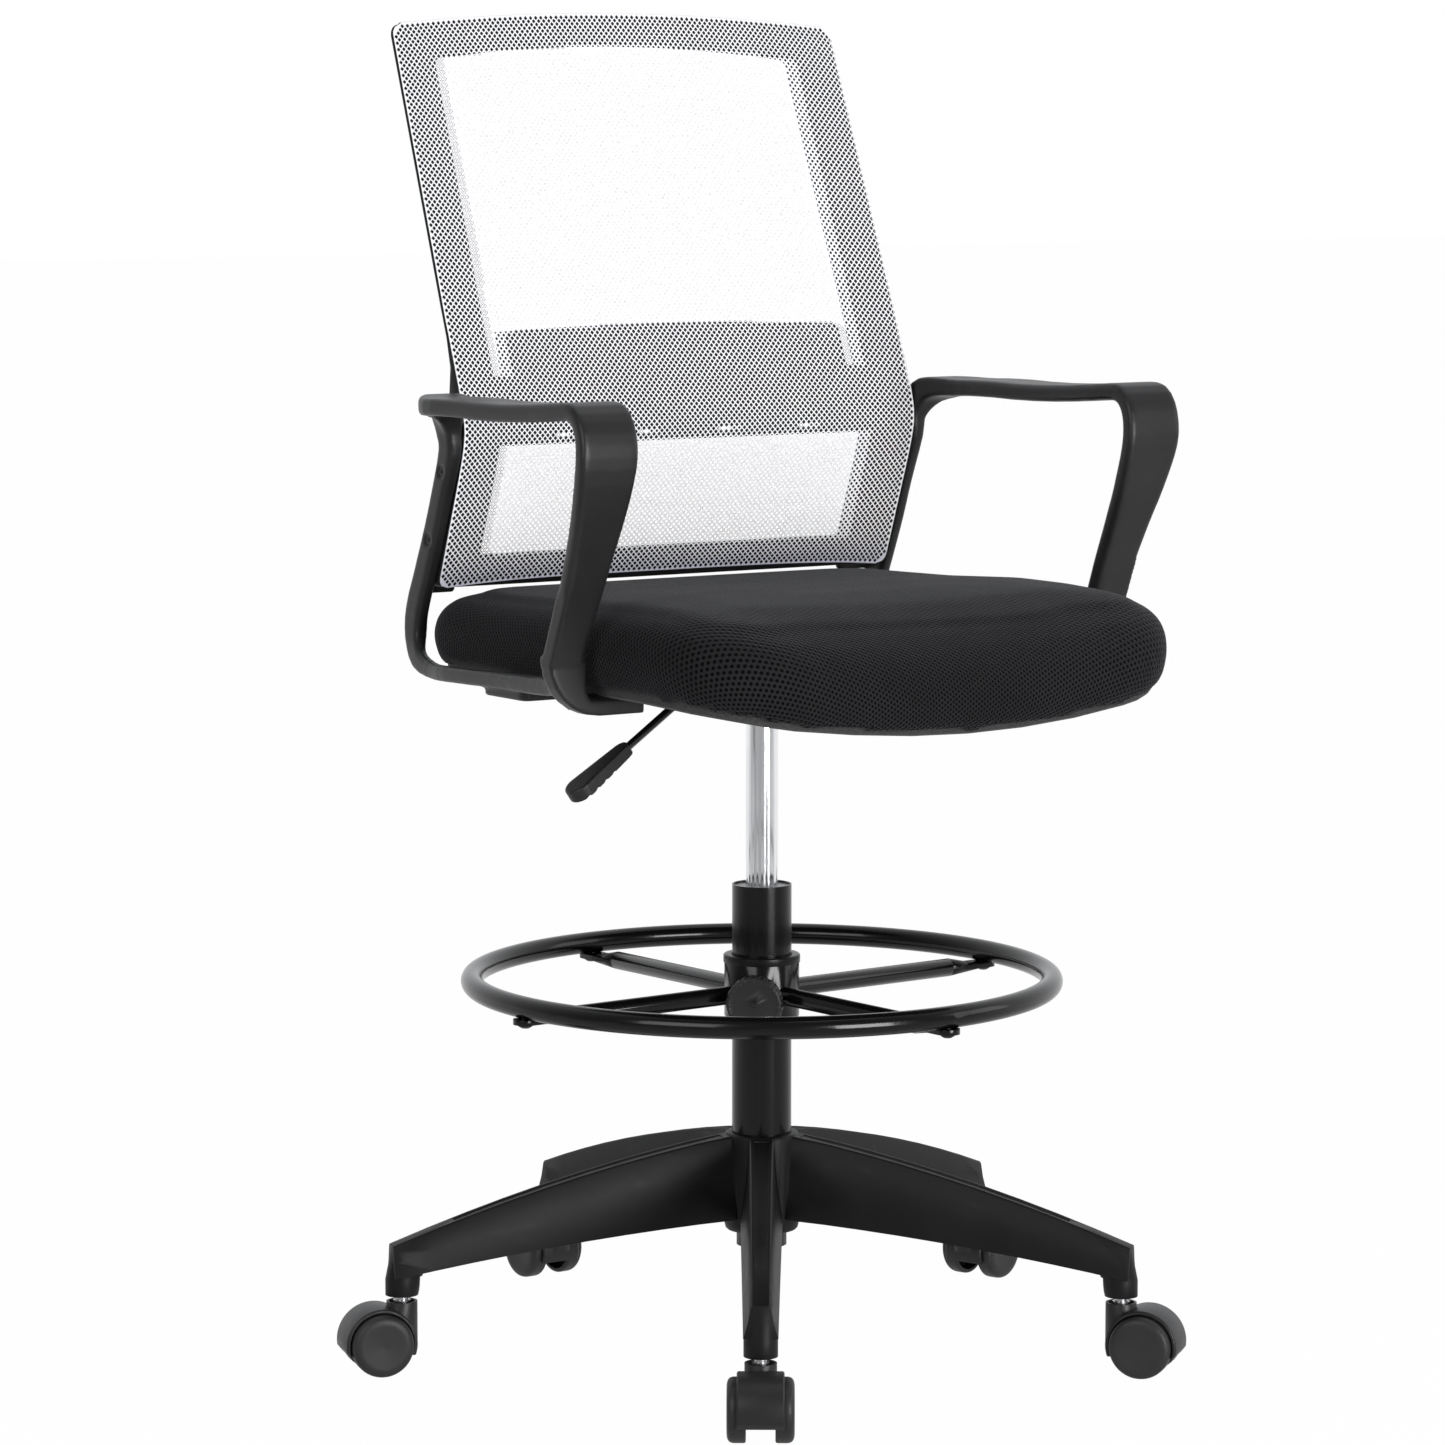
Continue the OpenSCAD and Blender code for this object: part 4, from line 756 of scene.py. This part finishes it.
def layKnit(piece):
    # the cover is one sheet: it is opened out along the underside's edge
    mesh = piece.data
    mesh.uv_layers.new(name="cloth")
    sides = {}
    for face in mesh.polygons:
        for key in face.edge_keys:
            sides.setdefault(key, []).append(face.normal.z < cushion["seamBelow"])
    for edge in mesh.edges:
        below = sides[edge.key]
        edge.use_seam = below[0] != below[-1]
    workOn(piece)
    bpy.ops.object.mode_set(mode="EDIT")
    bpy.ops.mesh.select_all(action="SELECT")
    bpy.ops.uv.unwrap(method="CONFORMAL", margin=0.0)
    bpy.ops.object.mode_set(mode="OBJECT")

    # scaled and turned so that the knit lies square and at full size on the middle of the top
    layer = mesh.uv_layers["cloth"].data
    flat = np.zeros(len(mesh.loops) * 2)
    layer.foreach_get("uv", flat)
    flat = flat[0::2] + 1j * flat[1::2]
    corners, places = cornersOf(mesh), placesOf(mesh)
    upward = np.array([v.normal.z for v in mesh.vertices])
    onTop = (np.abs(places[:, :2]) < cushion["topHalf"]).all(axis=1) & (upward > cushion["topFacing"])
    pick = onTop[corners]
    want = places[corners[pick], 0] + 1j * places[corners[pick], 1]
    middle, target = flat[pick].mean(), want.mean()
    spread = flat[pick] - middle
    turn = ((want - target) * np.conj(spread)).sum() / (abs(spread) ** 2).sum()
    laid = (flat - middle) * turn + target
    layer.foreach_set("uv", np.column_stack([laid.real, laid.imag]).ravel())
    print("knit laid, flat size in m:", round(np.ptp(laid.real), 3), round(np.ptp(laid.imag), 3))


def makeCushion():
    piece = mergedCopy("seat_cushion", "seat_cover")
    remesh(piece, cushion["voxel"])
    levelTop(piece)
    soften(piece, cushion["softBefore"])
    swell(piece)
    soften(piece, cushion["softAfter"])
    layKnit(piece)
    applyModifier(piece, "SUBSURF", levels=1, render_levels=1)
    bpy.ops.object.shade_smooth()
    return piece


cover = makeCushion()
finish(cover, "seat", "seat", "seat_cushion")
print("cushion made:", len(cover.data.polygons), "faces")


# mesh of the back: one sheet with real holes, stretched over the frame

knit = {"across": 0.00545, "rows": 0.00278, "lowHole": 0.00133, "topHole": 0.00122, "sides": 8}
back = {
    "arch": 0.011, "narrow": 0.005, "taperFrom": 0.9, "corner": 0.0098,
    "lumbarZ": 0.804, "lumbarY": 0.0985, "slope": 0.39, "bend": 0.007,
    "sag": 0.008, "sagFade": 0.06, "sagSide": 0.2,  # the last is a share of the half width
    "proud": 0.0005, "backedWithin": 0.05, "mergeWithin": 0.000002,
    "wrap": (
        # steps back and up over the top edge
        (0.0007, 0.0007), (0.0030, 0.0006), (0.0050, -0.0012),
    ),
}
backLow, backTop, backSide = frameLow.z, frameHigh.z - back["arch"], frameHigh.x


def upShare(z):
    return clamp((z - back["taperFrom"]) / (backTop - back["taperFrom"]), 0, 1)


def backHalf(z):
    return backSide - back["narrow"] * upShare(z)


def backLimit(z):
    # half width with the corners rounded off
    r = back["corner"]
    short = r - clamp(min(z - backLow, backTop - z), 0, r)
    return backHalf(z) - r + math.sqrt(r * r - short * short)


def backPoint(x, z):
    # z is the level along the side; the cloth rises a little in the middle near its top
    u = clamp(x / backHalf(z), -1, 1)
    height = z + back["arch"] * upShare(z) * (1 - u * u)
    front = back["lumbarY"] + math.hypot(back["slope"] * (height - back["lumbarZ"]), back["bend"])
    sag = back["sag"] * (1 - u * u) * clamp((1 - abs(u)) / back["sagSide"], 0, 1)
    fade = clamp(min(z - backLow, backTop - z) / back["sagFade"], 0, 1)
    return x, front + sag * fade - back["proud"], height + archLift(x, z)


def weave():
    # a lattice of diamonds with a hole in each, kept whole where a hole would reach the cloth's edge
    points, uvs, faces, paintedShadeRims = [], [], [], []
    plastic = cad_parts["back_frame"].data
    backing = BVHTree.FromPolygons([v.co for v in plastic.vertices], [p.vertices for p in plastic.polygons])
    columns = round(backSide / (knit["across"] / 2))
    rows = round((backTop - backLow) / knit["rows"])
    seen = {}

    def level(j):
        return backLow + (backTop - backLow) * j / rows

    def add(x, z, push=0.0, lift=0.0):
        px, py, pz = backPoint(x, z)
        points.append((px, py + push, pz + lift))
        uvs.append((x, z - back["lumbarZ"] + push))
        return len(points) - 1

    def corner(i, j):
        # lattice corner, shared by its cells
        i, j = clamp(i, -columns, columns), clamp(j, 0, rows)
        if (i, j) not in seen:
            z = level(j)
            limit = backLimit(z)
            seen[(i, j)] = add(clamp(backHalf(z) * i / columns, -limit, limit), z)
        return seen[(i, j)]

    def backed(point):
        # the frame behind a hole keeps light from reaching it, so the hole's rim is painted dark as painted
        # shade
        hit = backing.ray_cast(Vector(points[point]), Vector((0, 1, 0)), back["backedWithin"])
        return hit[0] is not None

    n = knit["sides"]
    each = n // 4
    for j in range(rows + 1):
        z = level(j)
        hole = knit["lowHole"] + (knit["topHole"] - knit["lowHole"]) * (z - backLow) / (backTop - backLow)
        space = min(backLimit(z - hole), backLimit(z + hole)) - hole
        for i in range(-columns, columns + 1):
            if (i + j) % 2:
                continue
            x = backHalf(z) * i / columns
            ring = [corner(i - 1, j), corner(i, j - 1), corner(i + 1, j), corner(i, j + 1)]
            if abs(i) == columns or j in (0, rows) or abs(x) > space:
                faces.append(ring)
                continue
            rim = []
            for k in range(n):
                a = math.pi + 2 * math.pi * (k + 0.5) / n
                rim.append(add(x + hole * math.cos(a), z + hole * math.sin(a)))
            # rims with the frame behind them get painted shade
            if backed(rim[0]):
                paintedShadeRims.extend(rim)
            for q in range(4):
                run = [rim[(q * each + k - each // 2) % n] for k in range(each + 1)]
                faces.append([ring[q], ring[(q + 1) % 4], run[-1], *run[-2::-1]])

    # the cloth is turned back over the top edge
    edge = [corner(i, rows) for i in range(-columns, columns + 1)]
    for push, lift in back["wrap"]:
        turned = [add(points[p][0], backTop, push, lift) for p in edge]
        for k in range(len(edge) - 1):
            faces.append([edge[k], edge[k + 1], turned[k + 1], turned[k]])
        edge = turned
    return points, uvs, faces, paintedShadeRims


def makeMesh():
    points, uvs, faces, paintedShadeRims = weave()
    mesh = bpy.data.meshes.new("back_cloth")
    mesh.from_pydata(points, [], faces)
    mesh.validate()
    piece = linked("back_cloth", mesh)
    layer = mesh.uv_layers.new(name="cloth")
    layer.data.foreach_set("uv", np.array(uvs)[cornersOf(mesh)].ravel())
    # the share of painted shade at each point, full on the hole rims over the frame
    paintedShade = np.zeros(len(points))
    paintedShade[paintedShadeRims] = 1.0
    mesh.attributes.new("rim", "FLOAT", "POINT").data.foreach_set("value", paintedShade)
    workOn(piece)
    bpy.ops.object.mode_set(mode="EDIT")
    bpy.ops.mesh.select_all(action="SELECT")
    bpy.ops.mesh.remove_doubles(threshold=back["mergeWithin"])
    bpy.ops.mesh.dissolve_degenerate(threshold=back["mergeWithin"])
    bpy.ops.object.mode_set(mode="OBJECT")
    bpy.ops.object.shade_smooth()
    return piece


cloth = makeMesh()
finish(cloth, "seat", "back", "back_mesh")
print("mesh back made:", len(cloth.data.polygons), "faces")


# studio: the room is darker on the camera's side, where the black pieces mirror it

room = {
    "away": (0.557, 0.829, 0.05),  # the way the camera looks
    "ramp": (-0.5, 0.8), "near": 0.2, "far": 0.95,
    "white": (1, 1, 1, 1), "soft": (0.97, 0.98, 1.0, 1),
    "floorSize": 60, "floorRamp": (-2.0, 2.0), "floorNear": 0.4, "floorFar": 0.95,
    "floorMatte": (0.68, 0.68, 0.69, 1), "floorGlow": 0.985,
}


def makeFloor():
    bpy.ops.mesh.primitive_plane_add(size=room["floorSize"], location=(0, 0, 0))
    floor = bpy.context.active_object
    floor.name = "floor"
    g = newMaterial("pale floor")
    seen = g.add("ShaderNodeLightPath", output="Is Camera Ray")
    mirrored = g.add("ShaderNodeLightPath", output="Is Glossy Ray")
    x, y, _ = g.split(g.place())
    ahead = x * room["away"][0] + y * room["away"][1]
    bright = ahead.ramp(*room["floorRamp"], room["floorNear"], room["floorFar"])
    matte = g.add("ShaderNodeBsdfDiffuse", {}, {"Color": room["floorMatte"]})
    glow = g.add("ShaderNodeEmission", {}, {"Color": room["white"], "Strength": seen + mirrored * bright})
    both = g.add("ShaderNodeMixShader", {}, {0: seen * room["floorGlow"] + mirrored, 1: matte, 2: glow})
    g.add("ShaderNodeOutputMaterial", {}, {"Surface": both})
    floor.data.materials.append(g.owner)


def makeWorld():
    world = bpy.data.worlds.new("studio")
    bpy.context.scene.world = world
    g = Graph(world)
    seen = g.add("ShaderNodeLightPath", output="Is Camera Ray")
    around = g.add("ShaderNodeTexCoord", output="Generated")
    ahead = g.add("ShaderNodeVectorMath", {"operation": "DOT_PRODUCT"}, {0: around, 1: room["away"]},
                  output="Value")
    bright = ahead.ramp(*room["ramp"], room["near"], room["far"])
    soft = g.add("ShaderNodeBackground", {}, {"Color": room["soft"], "Strength": bright})
    white = g.add("ShaderNodeBackground", {}, {"Color": room["white"], "Strength": 1.0})
    both = g.add("ShaderNodeMixShader", {}, {0: seen, 1: soft, 2: white})
    g.add("ShaderNodeOutputWorld", {}, {"Surface": both})


lamps = [
    # name, place, aim, size, watts
    ("left box", (-2.6, -1.2, 1.6), (0, 0, 0.7), 1.6, 28),
    ("right box", (2.4, -1.6, 1.3), (0, 0, 0.7), 1.4, 10),
    ("front box", (0.2, -3.4, 0.7), (0, 0.1, 0.8), 1.3, 82),
    ("top box", (0.2, -0.4, 3.2), (0, 0, 0.6), 2.0, 10),
]


def makeLamps():
    for name, place, aim, size, watts in lamps:
        data = bpy.data.lights.new(name, "AREA")
        data.shape, data.size, data.energy = "SQUARE", size, watts
        lamp = linked(name, data)
        lamp.location = place
        lamp.rotation_mode = "QUATERNION"
        lamp.rotation_quaternion = (Vector(aim) - Vector(place)).to_track_quat("-Z", "Y")


view = {
    "place": (-2.5528, -3.7990, 1.082), "tilt": 83.37, "turn": -33.471,
    "lens": 132.3, "sensor": 36, "clip": (0.1, 200),
}


def makeCamera():
    data = bpy.data.cameras.new("camera")
    data.lens, data.sensor_width = view["lens"], view["sensor"]
    data.clip_start, data.clip_end = view["clip"]
    camera = linked("camera", data)
    camera.location = view["place"]
    camera.rotation_euler = (math.radians(view["tilt"]), 0, math.radians(view["turn"]))
    bpy.context.scene.camera = camera


makeFloor()
makeWorld()
makeLamps()
makeCamera()
bpy.context.scene.view_settings.view_transform = "Standard"
print("studio made")
